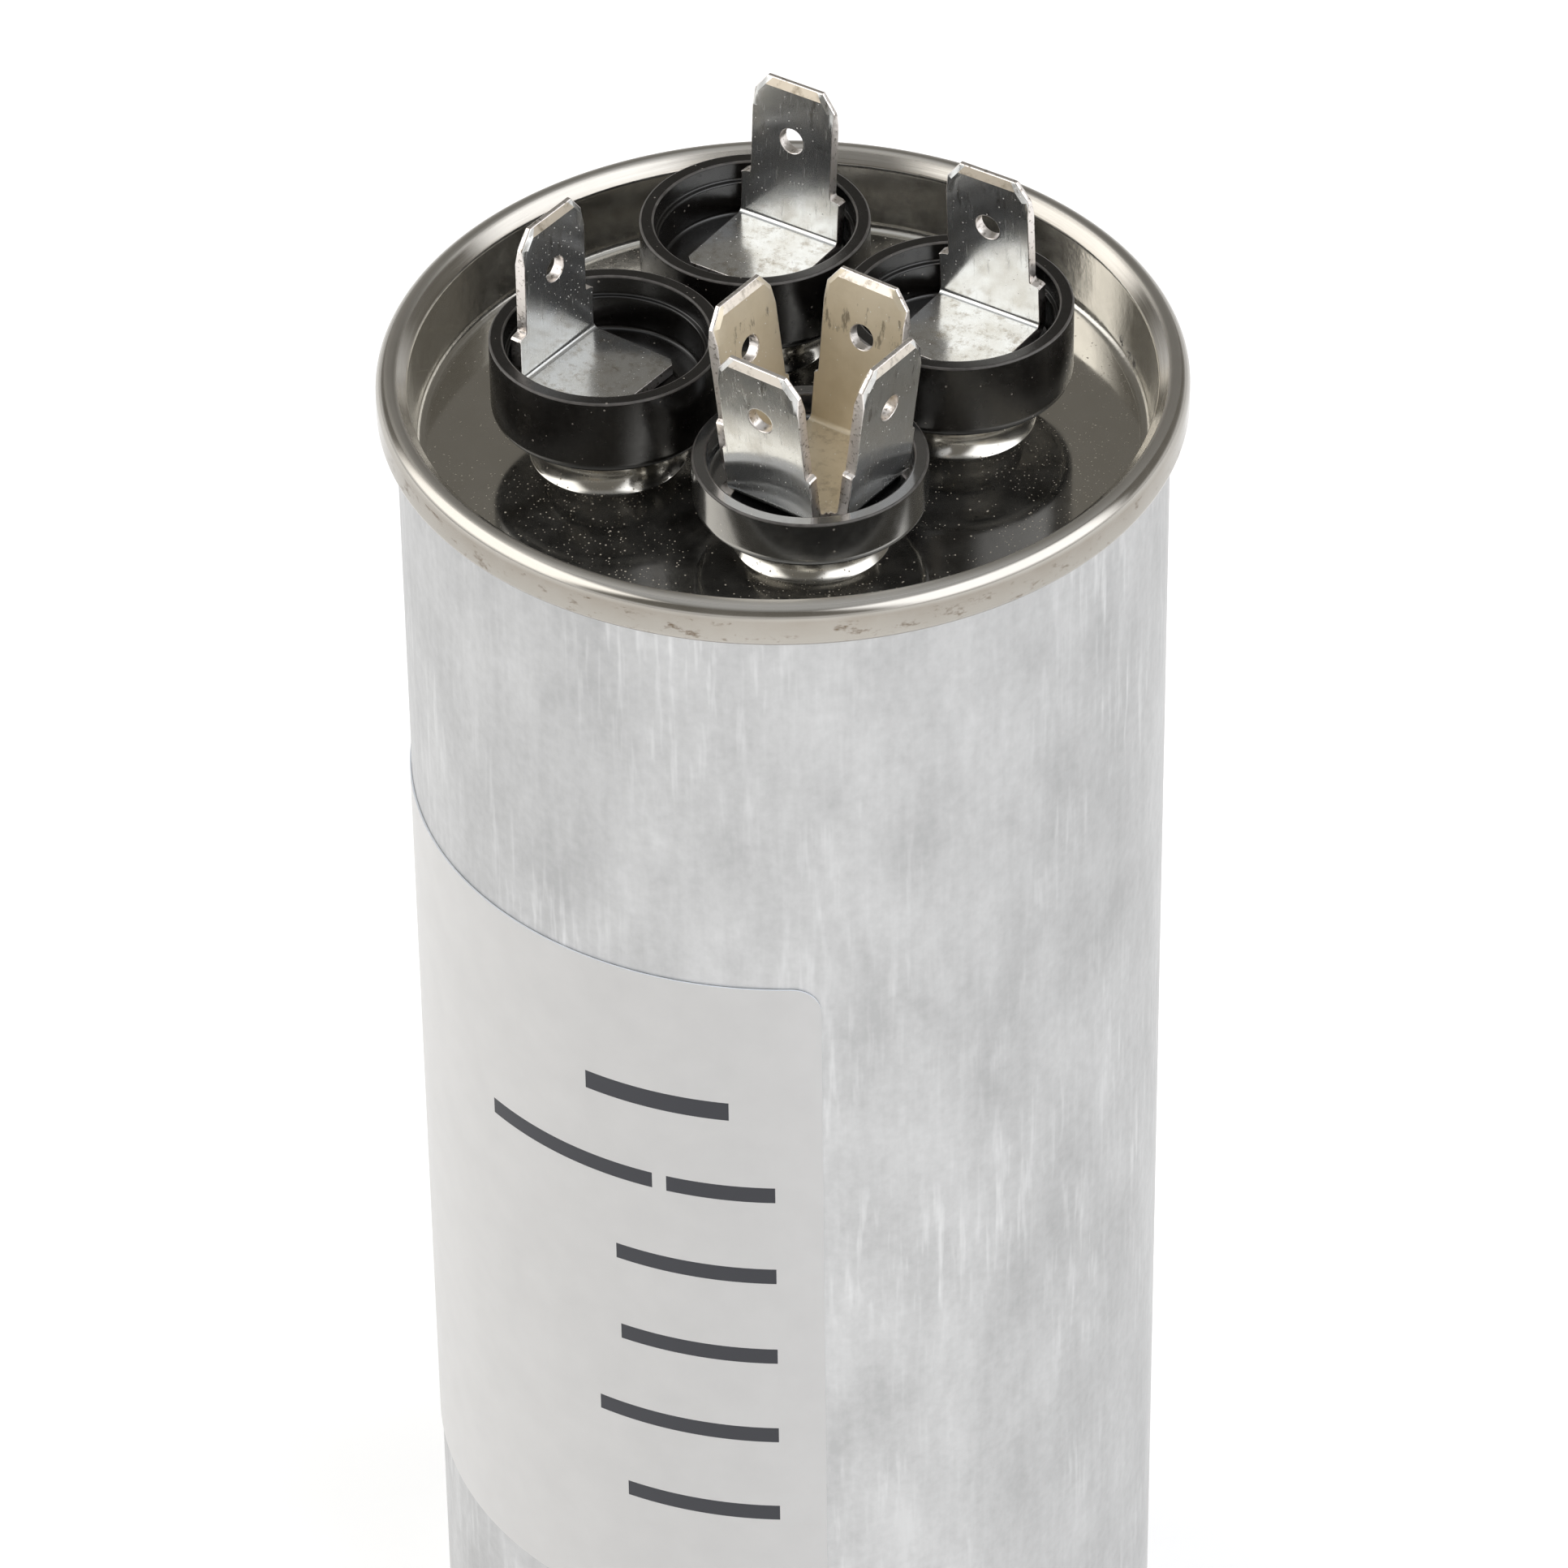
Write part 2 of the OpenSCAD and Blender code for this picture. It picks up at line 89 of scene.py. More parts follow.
def roundedPath(corners, steps=10, support=0.05):
    # corners are (r, z, radius): an arc touches both sides of each corner that has a radius,
    # and one support point beyond each end of the arc keeps the straight stretches flat
    xy = np.array([c[:2] for c in corners], float)
    radius = np.array([c[2] for c in corners], float)
    toLast = np.roll(xy, 1, 0) - xy
    toNext = np.roll(xy, -1, 0) - xy
    side = np.linalg.norm(toNext, axis=1)
    toLast = toLast / np.linalg.norm(toLast, axis=1)[:, None]
    toNext = toNext / side[:, None]
    half = np.arccos(np.clip((toLast * toNext).sum(1), -1, 1)) / 2
    reach = radius / np.tan(half)
    free = side - reach - np.roll(reach, -1)
    t = np.linspace(0, 1, steps + 1)[:, None]
    path = []
    for k in range(len(xy)):
        if radius[k] == 0:
            path.append(xy[k:k + 1])
            continue
        start = xy[k] + toLast[k] * reach[k]
        end = xy[k] + toNext[k] * reach[k]
        inward = toLast[k] + toNext[k]
        centre = xy[k] + inward / np.linalg.norm(inward) * radius[k] / math.sin(half[k])
        sweep = math.pi - 2 * half[k]
        swung = np.sin((1 - t) * sweep) * (start - centre) + np.sin(t * sweep) * (end - centre)
        arc = centre + swung / math.sin(sweep)
        before = start + toLast[k] * min(support, free[k - 1] / 3)
        after = end + toNext[k] * min(support, free[k] / 3)
        path.extend([before[None], arc, after[None]])
    return np.vstack(path)


def revolve(path, angles, centre=(0, 0)):
    # ring for each point of the path: x = r cos a, y = r sin a, z stays
    r, z = path.T
    x = centre[0] + np.outer(r, np.cos(angles))
    y = centre[1] + np.outer(r, np.sin(angles))
    return np.stack([x, y, np.outer(z, np.ones_like(angles))], -1)


def makePiece(name, patches, materials, closed=True):
    # each patch is a grid of points in millimetres and the index of its material;
    # patches that share an edge are welded, and rows that shrink to a point close as a pole
    points, faces, kinds = [], [], []
    count = 0
    for grid, kind in patches:
        rows, columns = grid.shape[:2]
        index = count + np.arange(rows * columns).reshape(rows, columns)
        corners = [index[:-1, :-1], index[1:, :-1], index[1:, 1:], index[:-1, 1:]]
        quads = np.stack(corners, -1).reshape(-1, 4)
        points.append(grid.reshape(-1, 3))
        faces.append(quads)
        kinds.append(np.full(len(quads), kind))
        count += rows * columns
    mesh = bpy.data.meshes.new(name)
    mesh.from_pydata((np.vstack(points) * mm).tolist(), [], np.vstack(faces).tolist())
    mesh.polygons.foreach_set("material_index", np.concatenate(kinds).astype(np.int32))
    work = bmesh.new()
    work.from_mesh(mesh)
    bmesh.ops.remove_doubles(work, verts=work.verts, dist=0.0008 * mm)
    if closed:
        bmesh.ops.recalc_face_normals(work, faces=work.faces)
    work.to_mesh(mesh)
    work.free()
    mesh.polygons.foreach_set("use_smooth", np.ones(len(mesh.polygons), bool))
    for material in materials:
        mesh.materials.append(material)
    piece = bpy.data.objects.new(name, mesh)
    bpy.context.scene.collection.objects.link(piece)
    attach(piece, "root")
    return piece


turn = np.linspace(0, 2 * math.pi, 257)   # one full turn, with the last point on the first


# Materials

def grain(size):
    # texture scale for a feature of this size in millimetres, on Object coordinates in metres
    return 1 / (size * mm)


def specks(tree, place, cell, share, reach):
    # one round spot in some cells of a random grid: the cell's own random number sets the spot's size,
    # and only the highest share of the numbers gives a spot at all
    cells = addNode(tree, "TexVoronoi", {"Vector": place, "Scale": grain(cell)})
    draw = addNode(tree, "SeparateColor", {0: cells.outputs["Color"]}).outputs[0]
    size = addNode(tree, "Math", {0: draw, 1: reach / share, 2: reach - reach / share},
                   operation="MULTIPLY_ADD").outputs[0]
    return addNode(tree, "Math", {0: cells.outputs["Distance"], 1: size}, operation="LESS_THAN").outputs[0]


def drawnAluminium():
    # Bare drawn aluminium: pale satin grey with a fine mottle and upright clouds of handling, patches of
    # soft bright flecks along the draw and a few dark specks
    look = dict(dull="#B2B2B2", bright="#CFCFCF", fleck="#ECECEC", speck="#8B8780", fleckWidth=0.6,
                fleckLength=6, flecks=0.5, patch=9, cloud=6, cloudStretch=2, mottle=0.7, mottleShare=0.25,
                streakShare=0.12, speckCell=4, rough=(0.36, 0.48))
    material, tree, shader, place = newMaterial("drawn aluminium")
    stretch = (1, 1, look["fleckWidth"] / look["fleckLength"])
    along = addNode(tree, "Mapping", {"Vector": place, "Scale": stretch}).outputs[0]
    tall = (1, 1, 1 / look["cloudStretch"])
    upright = addNode(tree, "Mapping", {"Vector": place, "Scale": tall}).outputs[0]
    lines = addNode(tree, "TexNoise", {"Vector": along, "Scale": grain(look["fleckWidth"]),
                                       "Detail": 2, "Roughness": 0.55}).outputs[0]
    cloud = addNode(tree, "TexNoise", {"Vector": upright, "Scale": grain(look["cloud"]),
                                       "Detail": 6, "Roughness": 0.6}).outputs[0]
    patch = addNode(tree, "TexNoise", {"Vector": upright, "Scale": grain(look["patch"]),
                                       "Detail": 2}).outputs[0]
    mottle = addNode(tree, "TexNoise", {"Vector": place, "Scale": grain(look["mottle"]),
                                        "Detail": 4, "Roughness": 0.6}).outputs[0]
    mottled = addNode(tree, "Mix", {0: look["mottleShare"], 2: cloud, 3: mottle}).outputs[0]
    uneven = addNode(tree, "Mix", {0: look["streakShare"], 2: mottled, 3: lines}).outputs[0]
    tone = addNode(tree, "MapRange", {"Value": uneven, "From Min": 0.36, "From Max": 0.64}).outputs[0]
    sheet = addNode(tree, "Mix", {0: tone, 6: linear(look["dull"]), 7: linear(look["bright"])},
                    data_type="RGBA").outputs[2]
    flecky = addNode(tree, "MapRange", {"Value": patch, "From Min": 0.44, "From Max": 0.6,
                                        "To Max": look["flecks"]}).outputs[0]
    bright = addNode(tree, "MapRange", {"Value": lines, "From Min": 0.53, "From Max": 0.78,
                                        "To Max": flecky}).outputs[0]
    flecked = addNode(tree, "Mix", {0: bright, 6: sheet, 7: linear(look["fleck"])},
                      data_type="RGBA").outputs[2]
    isSpeck = specks(tree, place, cell=look["speckCell"], share=0.3, reach=0.05)
    colour = addNode(tree, "Mix", {0: isSpeck, 6: flecked, 7: linear(look["speck"])},
                     data_type="RGBA").outputs[2]
    rough = addNode(tree, "MapRange",
                    {"Value": cloud, "From Min": 0.3, "From Max": 0.7,
                     "To Min": look["rough"][0], "To Max": look["rough"][1]}).outputs[0]
    bump = addNode(tree, "Bump", {"Height": lines, "Strength": 0.2, "Distance": 0.02 * mm}).outputs[0]
    setInputs(tree, shader, {"Base Color": colour, "Roughness": rough, "Normal": bump, "Metallic": 1})
    return material


def drawnTinplate():
    # Tinned steel lid: a warm mirror under a film of dust on the panel, satin with faint lines of the rolls
    # on the wall and seam, painted shade just under the crown on the seam's outer face, brown scuffs low on
    # that face and a few smudges at the wall's foot
    # outer is a painted shade: the darker brown tone laid on the seam's outer face under the crown
    look = dict(colour="#CDCAC3", seam="#B9B5AE", outer="#A29B91", dust="#C9C1B2", scuff="#6E5F4E",
                dirt="#3A352F", dustCell=0.34, fineDust=0.6, dustCloud=7, wipeSize=2.5, waveSize=5,
                rollLine=0.2, rollTurns=4.0, panelRough=(0.05, 0.13), wallRough=(0.14, 0.24),
                seamRough=(0.11, 0.19), bossRough=0.16, crestRough=0.4, haze=(0.985, 0.93),
                panelEdge=23.4, panelTop=109.6, seamEdge=24.6, crestFrom=25.3, crestTo=26, crestFade=0.12,
                outerTop=114.4, outerFull=114, outerFoot=112.6, scuffFrom=111.9, scuffTo=113.9,
                scuffRadius=26.3, scuffSize=1.5, scuffFlat=2, dirtRing=24.2, dirtHeight=110.15,
                dirtAngles=(52, 54.6, 57.8), dirtSize=0.6, smearSize=0.4)
    material, tree, shader, place = newMaterial("drawn tinplate")
    flat = addNode(tree, "VectorMath", {0: place, 1: (1, 1, 0)}, operation="MULTIPLY").outputs[0]
    radius = addNode(tree, "VectorMath", {0: flat}, operation="LENGTH").outputs["Value"]
    height = addNode(tree, "SeparateXYZ", {0: place}).outputs["Z"]
    rolled = addNode(tree, "Math", {0: radius, 1: look["panelEdge"] * mm},
                     operation="GREATER_THAN").outputs[0]
    # coordinates that run slowly round the lid and fast across the rolled lines
    around = addNode(tree, "VectorMath", {0: flat}, operation="NORMALIZE").outputs[0]
    slow = addNode(tree, "VectorMath", {0: around, 3: look["rollTurns"]}, operation="SCALE").outputs[0]
    outAndUp = addNode(tree, "Math", {0: radius, 1: height}, operation="ADD").outputs[0]
    fast = addNode(tree, "Math", {0: outAndUp, 1: grain(look["rollLine"])}, operation="MULTIPLY").outputs[0]
    lift = addNode(tree, "CombineXYZ", {2: fast}).outputs[0]
    rollPlace = addNode(tree, "VectorMath", {0: slow, 1: lift}, operation="ADD").outputs[0]
    rollLines = addNode(tree, "TexNoise", {"Vector": rollPlace, "Scale": 1, "Detail": 3}).outputs[0]
    wipe = addNode(tree, "TexNoise", {"Vector": place, "Scale": grain(look["wipeSize"]),
                                      "Detail": 6, "Roughness": 0.65}).outputs[0]
    panelGloss = addNode(tree, "MapRange",
                         {"Value": wipe, "From Min": 0.35, "From Max": 0.7,
                          "To Min": look["panelRough"][0], "To Max": look["panelRough"][1]}).outputs[0]
    wallGloss = addNode(tree, "MapRange",
                        {"Value": wipe, "From Min": 0.35, "From Max": 0.7,
                         "To Min": look["wallRough"][0], "To Max": look["wallRough"][1]}).outputs[0]
    seamGloss = addNode(tree, "MapRange",
                        {"Value": rollLines, "From Min": 0.35, "From Max": 0.65,
                         "To Min": look["seamRough"][0], "To Max": look["seamRough"][1]}).outputs[0]
    onSeam = addNode(tree, "Math", {0: radius, 1: look["seamEdge"] * mm},
                     operation="GREATER_THAN").outputs[0]
    # the bosses stand above the panel; the crest, a ring on top of the seam, is brushed
    isBoss = addNode(tree, "Math", {0: height, 1: look["panelTop"] * mm},
                     operation="GREATER_THAN").outputs[0]
    bossGloss = addNode(tree, "Mix", {0: isBoss, 2: panelGloss, 3: look["bossRough"]}).outputs[0]
    crestMiddle = (look["crestFrom"] + look["crestTo"]) / 2 * mm
    crestHalf = (look["crestTo"] - look["crestFrom"]) / 2 * mm
    fromCrest = addNode(tree, "Math", {0: radius, 1: crestMiddle}, operation="SUBTRACT").outputs[0]
    offCrest = addNode(tree, "Math", {0: fromCrest}, operation="ABSOLUTE").outputs[0]
    brushed = addNode(tree, "MapRange",
                      {"Value": offCrest, "From Min": crestHalf + look["crestFade"] * mm,
                       "From Max": crestHalf}).outputs[0]
    crestGloss = addNode(tree, "Mix", {0: brushed, 2: seamGloss, 3: look["crestRough"]}).outputs[0]
    sunkGloss = addNode(tree, "Mix", {0: rolled, 2: bossGloss, 3: wallGloss}).outputs[0]
    gloss = addNode(tree, "Mix", {0: onSeam, 2: sunkGloss, 3: crestGloss}).outputs[0]
    # slow waves of the pressed sheet, then the lines of the rolls
    wave = addNode(tree, "TexNoise", {"Vector": place, "Scale": grain(look["waveSize"]),
                                      "Detail": 2}).outputs[0]
    waveBump = addNode(tree, "Bump", {"Height": wave, "Strength": 1, "Distance": 0.012 * mm}).outputs[0]
    rollHeight = addNode(tree, "Math", {0: rollLines, 1: rolled}, operation="MULTIPLY").outputs[0]
    rollBump = addNode(tree, "Bump", {"Height": rollHeight, "Strength": 0.12, "Distance": 0.02 * mm,
                                      "Normal": waveBump}).outputs[0]
    # the wall between panel and seam is slightly uneven
    onWall = addNode(tree, "Math", {0: rolled, 1: onSeam}, operation="SUBTRACT").outputs[0]
    wallHeight = addNode(tree, "Math", {0: wipe, 1: onWall}, operation="MULTIPLY").outputs[0]
    bump = addNode(tree, "Bump", {"Height": wallHeight, "Strength": 0.5, "Distance": 0.06 * mm,
                                  "Normal": rollBump}).outputs[0]
    dustCloud = addNode(tree, "TexNoise", {"Vector": place, "Scale": grain(look["dustCloud"]),
                                           "Detail": 3}).outputs[0]
    thick = addNode(tree, "Math", {0: dustCloud, 1: 0.5}, operation="GREATER_THAN").outputs[0]
    fewSpecks = specks(tree, place, cell=look["dustCell"], share=0.35, reach=0.22)
    manySpecks = specks(tree, place, cell=look["fineDust"] * look["dustCell"], share=0.5, reach=0.28)
    thickSpecks = addNode(tree, "Math", {0: manySpecks, 1: thick}, operation="MULTIPLY").outputs[0]
    isSpeck = addNode(tree, "Math", {0: fewSpecks, 1: thickSpecks}, operation="MAXIMUM").outputs[0]
    onPanel = addNode(tree, "Math", {0: isSpeck, 1: rolled}, operation="GREATER_THAN").outputs[0]
    sheet = addNode(tree, "Mix", {0: onSeam, 6: linear(look["colour"]), 7: linear(look["seam"])},
                    data_type="RGBA").outputs[2]
    # painted shade: the seam's outer face is darker and browner, most of all just under the crown, in soft
    # patches, standing in for the darker reflection there
    wiped = addNode(tree, "MapRange", {"Value": wipe, "From Min": 0.4, "From Max": 0.65,
                                       "To Min": 1, "To Max": 0.7}).outputs[0]
    under = addNode(tree, "MapRange",
                    {"Value": height, "From Min": look["outerTop"] * mm, "From Max": look["outerFull"] * mm,
                     "To Max": wiped}).outputs[0]
    fading = addNode(tree, "MapRange",
                     {"Value": height, "From Min": look["outerFull"] * mm,
                      "From Max": look["outerFoot"] * mm, "To Min": 1, "To Max": 0.45}).outputs[0]
    lowSeam = addNode(tree, "Math", {0: under, 1: onSeam}, operation="MULTIPLY").outputs[0]
    paintedOuterShade = addNode(tree, "Math", {0: lowSeam, 1: fading}, operation="MULTIPLY").outputs[0]
    sheet = addNode(tree, "Mix", {0: paintedOuterShade, 6: sheet, 7: linear(look["outer"])},
                    data_type="RGBA").outputs[2]
    dusty = addNode(tree, "Mix", {0: onPanel, 6: sheet, 7: linear(look["dust"])},
                    data_type="RGBA").outputs[2]
    # scuffs lie between two heights, outside one radius
    middle = (look["scuffFrom"] + look["scuffTo"]) / 2 * mm
    reach = (look["scuffTo"] - look["scuffFrom"]) / 2 * mm
    low = addNode(tree, "Math", {0: height, 1: middle, 2: reach}, operation="COMPARE").outputs[0]
    outside = addNode(tree, "Math", {0: radius, 1: look["scuffRadius"] * mm},
                      operation="GREATER_THAN").outputs[0]
    lowOutside = addNode(tree, "Math", {0: low, 1: outside}, operation="MULTIPLY").outputs[0]
    drawnOut = addNode(tree, "Mapping", {"Vector": place, "Scale": (1, 1, look["scuffFlat"])}).outputs[0]
    marks = addNode(tree, "TexNoise", {"Vector": drawnOut, "Scale": grain(look["scuffSize"]),
                                       "Detail": 7, "Roughness": 0.7}).outputs[0]
    scuffed = addNode(tree, "MapRange", {"Value": marks, "From Min": 0.56, "From Max": 0.7}).outputs[0]
    isScuff = addNode(tree, "Math", {0: scuffed, 1: lowOutside}, operation="MULTIPLY").outputs[0]
    base = addNode(tree, "Mix", {0: isScuff, 6: dusty, 7: linear(look["scuff"])},
                   data_type="RGBA").outputs[2]
    # broken smudges of dirt at the foot of the wall, as matt as the dust
    smear = addNode(tree, "TexNoise", {"Vector": place, "Scale": grain(look["smearSize"]),
                                       "Detail": 4, "Roughness": 0.7}).outputs[0]
    broken = addNode(tree, "MapRange", {"Value": smear, "From Min": 0.44, "From Max": 0.6}).outputs[0]
    ring, level = look["dirtRing"] * mm, look["dirtHeight"] * mm
    matt = onPanel
    for angle in np.radians(look["dirtAngles"]):
        spot = (ring * math.cos(angle), ring * math.sin(angle), level)
        away = addNode(tree, "VectorMath", {0: place, 1: spot}, operation="DISTANCE").outputs["Value"]
        isDirt = addNode(tree, "MapRange", {"Value": away, "From Min": look["dirtSize"] * mm,
                                            "From Max": 0, "To Max": broken}).outputs[0]
        base = addNode(tree, "Mix", {0: isDirt, 6: base, 7: linear(look["dirt"])},
                       data_type="RGBA").outputs[2]
        matt = addNode(tree, "Math", {0: matt, 1: isDirt}, operation="MAXIMUM").outputs[0]
    hazy = addNode(tree, "MapRange", {"Value": wipe, "From Min": 0.35, "From Max": 0.7,
                                      "To Min": look["haze"][0], "To Max": look["haze"][1]}).outputs[0]
    clean = addNode(tree, "Math", {0: 1, 1: matt}, operation="SUBTRACT").outputs[0]
    metal = addNode(tree, "Math", {0: hazy, 1: clean}, operation="MULTIPLY").outputs[0]
    roughAll = addNode(tree, "Math", {0: gloss, 1: matt}, operation="MAXIMUM").outputs[0]
    setInputs(tree, shader, {"Base Color": base, "Metallic": metal, "Roughness": roughAll, "Normal": bump})
    return material


def rolledTinplate(name, look):
    # Tinned steel strip of the tabs: pale and bright under a thin haze, with faint tarnish, fine upright
    # scratches and pale dust, and duller scuffed metal on the flat feet
    strip = dict(tarnishSize=2.5, scratchWidth=0.16, scratchShrink=0.06, footUpward=0.98, scuffSize=1.1,
                 scuffDull=0.14, rubColour="#6B6254", rubWidth=0.5, rubShrink=0.25, dust="#EFEDE8",
                 dustCell=0.32)
    material, tree, shader, place = newMaterial(name)
    tarnish = addNode(tree, "TexNoise", {"Vector": place, "Scale": grain(strip["tarnishSize"]),
                                         "Detail": 5, "Roughness": 0.6}).outputs[0]
    thin = (1, 1, strip["scratchShrink"])
    upright = addNode(tree, "Mapping", {"Vector": place, "Scale": thin}).outputs[0]
    scratch = addNode(tree, "TexNoise", {"Vector": upright, "Scale": grain(strip["scratchWidth"]),
                                         "Detail": 2}).outputs[0]
    tarnished = addNode(tree, "MapRange", {"Value": tarnish, "From Min": 0.45, "From Max": 0.75,
                                           "To Max": 0.6}).outputs[0]
    sheet = addNode(tree, "Mix", {0: tarnished, 6: linear(look["bright"]), 7: linear(look["tarnish"])},
                    data_type="RGBA").outputs[2]
    # faces that look up are the feet, scuffed in fine patches
    normal = addNode(tree, "NewGeometry").outputs["Normal"]
    upward = addNode(tree, "SeparateXYZ", {0: normal}).outputs["Z"]
    isFoot = addNode(tree, "Math", {0: upward, 1: strip["footUpward"]},
                     operation="GREATER_THAN").outputs[0]
    patch = addNode(tree, "TexNoise", {"Vector": place, "Scale": grain(strip["scuffSize"]),
                                       "Detail": 8, "Roughness": 0.75}).outputs[0]
    patches = addNode(tree, "MapRange", {"Value": patch, "From Min": 0.5, "From Max": 0.66,
                                         "To Max": 0.7}).outputs[0]
    scuffed = addNode(tree, "Math", {0: patches, 1: isFoot}, operation="MULTIPLY").outputs[0]
    worn = addNode(tree, "Mix", {0: scuffed, 6: sheet, 7: linear(look["scuff"])},
                   data_type="RGBA").outputs[2]
    # dark upright rub marks in a band below the tips
    tall = (1, 1, strip["rubShrink"])
    rub = addNode(tree, "Mapping", {"Vector": place, "Scale": tall}).outputs[0]
    streaks = addNode(tree, "TexNoise", {"Vector": rub, "Scale": grain(strip["rubWidth"]),
                                         "Detail": 5, "Roughness": 0.7}).outputs[0]
    rubbed = addNode(tree, "MapRange", {"Value": streaks, "From Min": 0.56, "From Max": 0.66,
                                        "To Max": look["rub"]}).outputs[0]
    level = addNode(tree, "SeparateXYZ", {0: place}).outputs["Z"]
    inBand = addNode(tree, "Math", {0: level, 1: look["rubHeight"] * mm, 2: look["rubReach"] * mm},
                     operation="COMPARE").outputs[0]
    isRubbed = addNode(tree, "Math", {0: rubbed, 1: inBand}, operation="MULTIPLY").outputs[0]
    worn = addNode(tree, "Mix", {0: isRubbed, 6: worn, 7: linear(strip["rubColour"])},
                   data_type="RGBA").outputs[2]
    isDust = specks(tree, place, cell=strip["dustCell"], share=0.55, reach=0.17)
    base = addNode(tree, "Mix", {0: isDust, 6: worn, 7: linear(strip["dust"])},
                   data_type="RGBA").outputs[2]
    gloss = addNode(tree, "MapRange",
                    {"Value": tarnish, "From Min": 0.35, "From Max": 0.7,
                     "To Min": look["rough"][0], "To Max": look["rough"][1]}).outputs[0]
    scratched = addNode(tree, "MapRange", {"Value": scratch, "From Min": 0.6, "From Max": 0.72,
                                           "To Max": 0.12}).outputs[0]
    marked = addNode(tree, "Math", {0: gloss, 1: scratched}, operation="ADD").outputs[0]
    duller = addNode(tree, "Math", {0: scuffed, 1: strip["scuffDull"], 2: marked},
                     operation="MULTIPLY_ADD").outputs[0]
    rough = addNode(tree, "Math", {0: duller, 1: isDust}, operation="MAXIMUM").outputs[0]
    clean = addNode(tree, "Math", {0: 1, 1: isDust}, operation="SUBTRACT").outputs[0]
    metal = addNode(tree, "Math", {0: clean, 1: look["haze"]}, operation="MULTIPLY").outputs[0]
    bump = addNode(tree, "Bump", {"Height": scratch, "Strength": 0.1, "Distance": 0.015 * mm}).outputs[0]
    setInputs(tree, shader, {"Base Color": base, "Metallic": metal, "Roughness": rough, "Normal": bump})
    return material


def shearedTinplate():
    # Cut edge of the tinned sheet: a pale burnished strip broken by dark torn ticks
    look = dict(burnished="#F0EAE5", torn="#938A80", tick=0.3, rough=0.32)
    material, tree, shader, place = newMaterial("sheared tinplate edge")
    tear = addNode(tree, "TexNoise", {"Vector": place, "Scale": grain(look["tick"]), "Detail": 4,
                                      "Roughness": 0.6}).outputs[0]
    ticks = addNode(tree, "MapRange", {"Value": tear, "From Min": 0.55, "From Max": 0.68}).outputs[0]
    base = addNode(tree, "Mix", {0: ticks, 6: linear(look["burnished"]), 7: linear(look["torn"])},
                   data_type="RGBA").outputs[2]
    bump = addNode(tree, "Bump", {"Height": tear, "Strength": 0.3, "Distance": 0.08 * mm}).outputs[0]
    setInputs(tree, shader, {"Base Color": base, "Normal": bump, "Metallic": 1, "Roughness": look["rough"]})
    return material


def coinedTinplate(name, colour, stain):
    # Tip of a tab pressed thin by the die: matt and a little stained
    look = dict(stainSize=0.9, rough=0.32)
    material, tree, shader, place = newMaterial(name)
    rub = addNode(tree, "TexNoise", {"Vector": place, "Scale": grain(look["stainSize"]), "Detail": 6,
                                     "Roughness": 0.7}).outputs[0]
    stained = addNode(tree, "MapRange", {"Value": rub, "From Min": 0.5, "From Max": 0.68}).outputs[0]
    base = addNode(tree, "Mix", {0: stained, 6: linear(colour), 7: linear(stain)},
                   data_type="RGBA").outputs[2]
    bump = addNode(tree, "Bump", {"Height": rub, "Strength": 0.2, "Distance": 0.03 * mm}).outputs[0]
    setInputs(tree, shader, {"Base Color": base, "Normal": bump, "Metallic": 1, "Roughness": look["rough"]})
    return material


def mouldedPlastic(name, look):
    # Black moulded thermoset: deep brownish black with a soft gloss, a fine grain and pale dust on it
    dust = dict(colour="#8A847D", cell=0.6)
    material, tree, shader, place = newMaterial(name)
    fine = addNode(tree, "TexNoise", {"Vector": place, "Scale": grain(look["grain"]),
                                      "Detail": 3}).outputs[0]
    gloss = addNode(tree, "MapRange",
                    {"Value": fine, "From Min": 0.3, "From Max": 0.7,
                     "To Min": look["rough"][0], "To Max": look["rough"][1]}).outputs[0]
    shade = addNode(tree, "Mix", {0: fine, 6: linear(look["dark"]), 7: linear(look["light"])},
                    data_type="RGBA").outputs[2]
    isDust = specks(tree, place, cell=dust["cell"], share=0.5, reach=0.14)
    base = addNode(tree, "Mix", {0: isDust, 6: shade, 7: linear(dust["colour"])},
                   data_type="RGBA").outputs[2]
    bump = addNode(tree, "Bump",
                   {"Height": fine, "Strength": look["bump"], "Distance": 0.03 * mm}).outputs[0]
    setInputs(tree, shader, {"Base Color": base, "Roughness": gloss, "Normal": bump,
                             "Specular IOR Level": look["specular"], "IOR": look["ior"],
                             "Coat Weight": look["coat"], "Coat Roughness": 0.12, "Coat IOR": look["ior"]})
    return material


def labelFilm(name, colour, rough):
    # Coated label film, or ink on it: even, with a soft sheen
    look = dict(mottleSize=3, tones=(0.94, 1.06))
    material, tree, shader, place = newMaterial(name)
    mottle = addNode(tree, "TexNoise", {"Vector": place, "Scale": grain(look["mottleSize"]),
                                        "Detail": 4}).outputs[0]
    shade = addNode(tree, "MapRange", {"Value": mottle, "To Min": look["tones"][0],
                                       "To Max": look["tones"][1]}).outputs[0]
    base = addNode(tree, "Mix", {0: 1, 6: linear(colour), 7: shade}, data_type="RGBA",
                   blend_type="MULTIPLY").outputs[2]
    bump = addNode(tree, "Bump", {"Height": mottle, "Strength": 0.2, "Distance": 0.03 * mm}).outputs[0]
    setInputs(tree, shader, {"Base Color": base, "Normal": bump, "Roughness": rough})
    return material


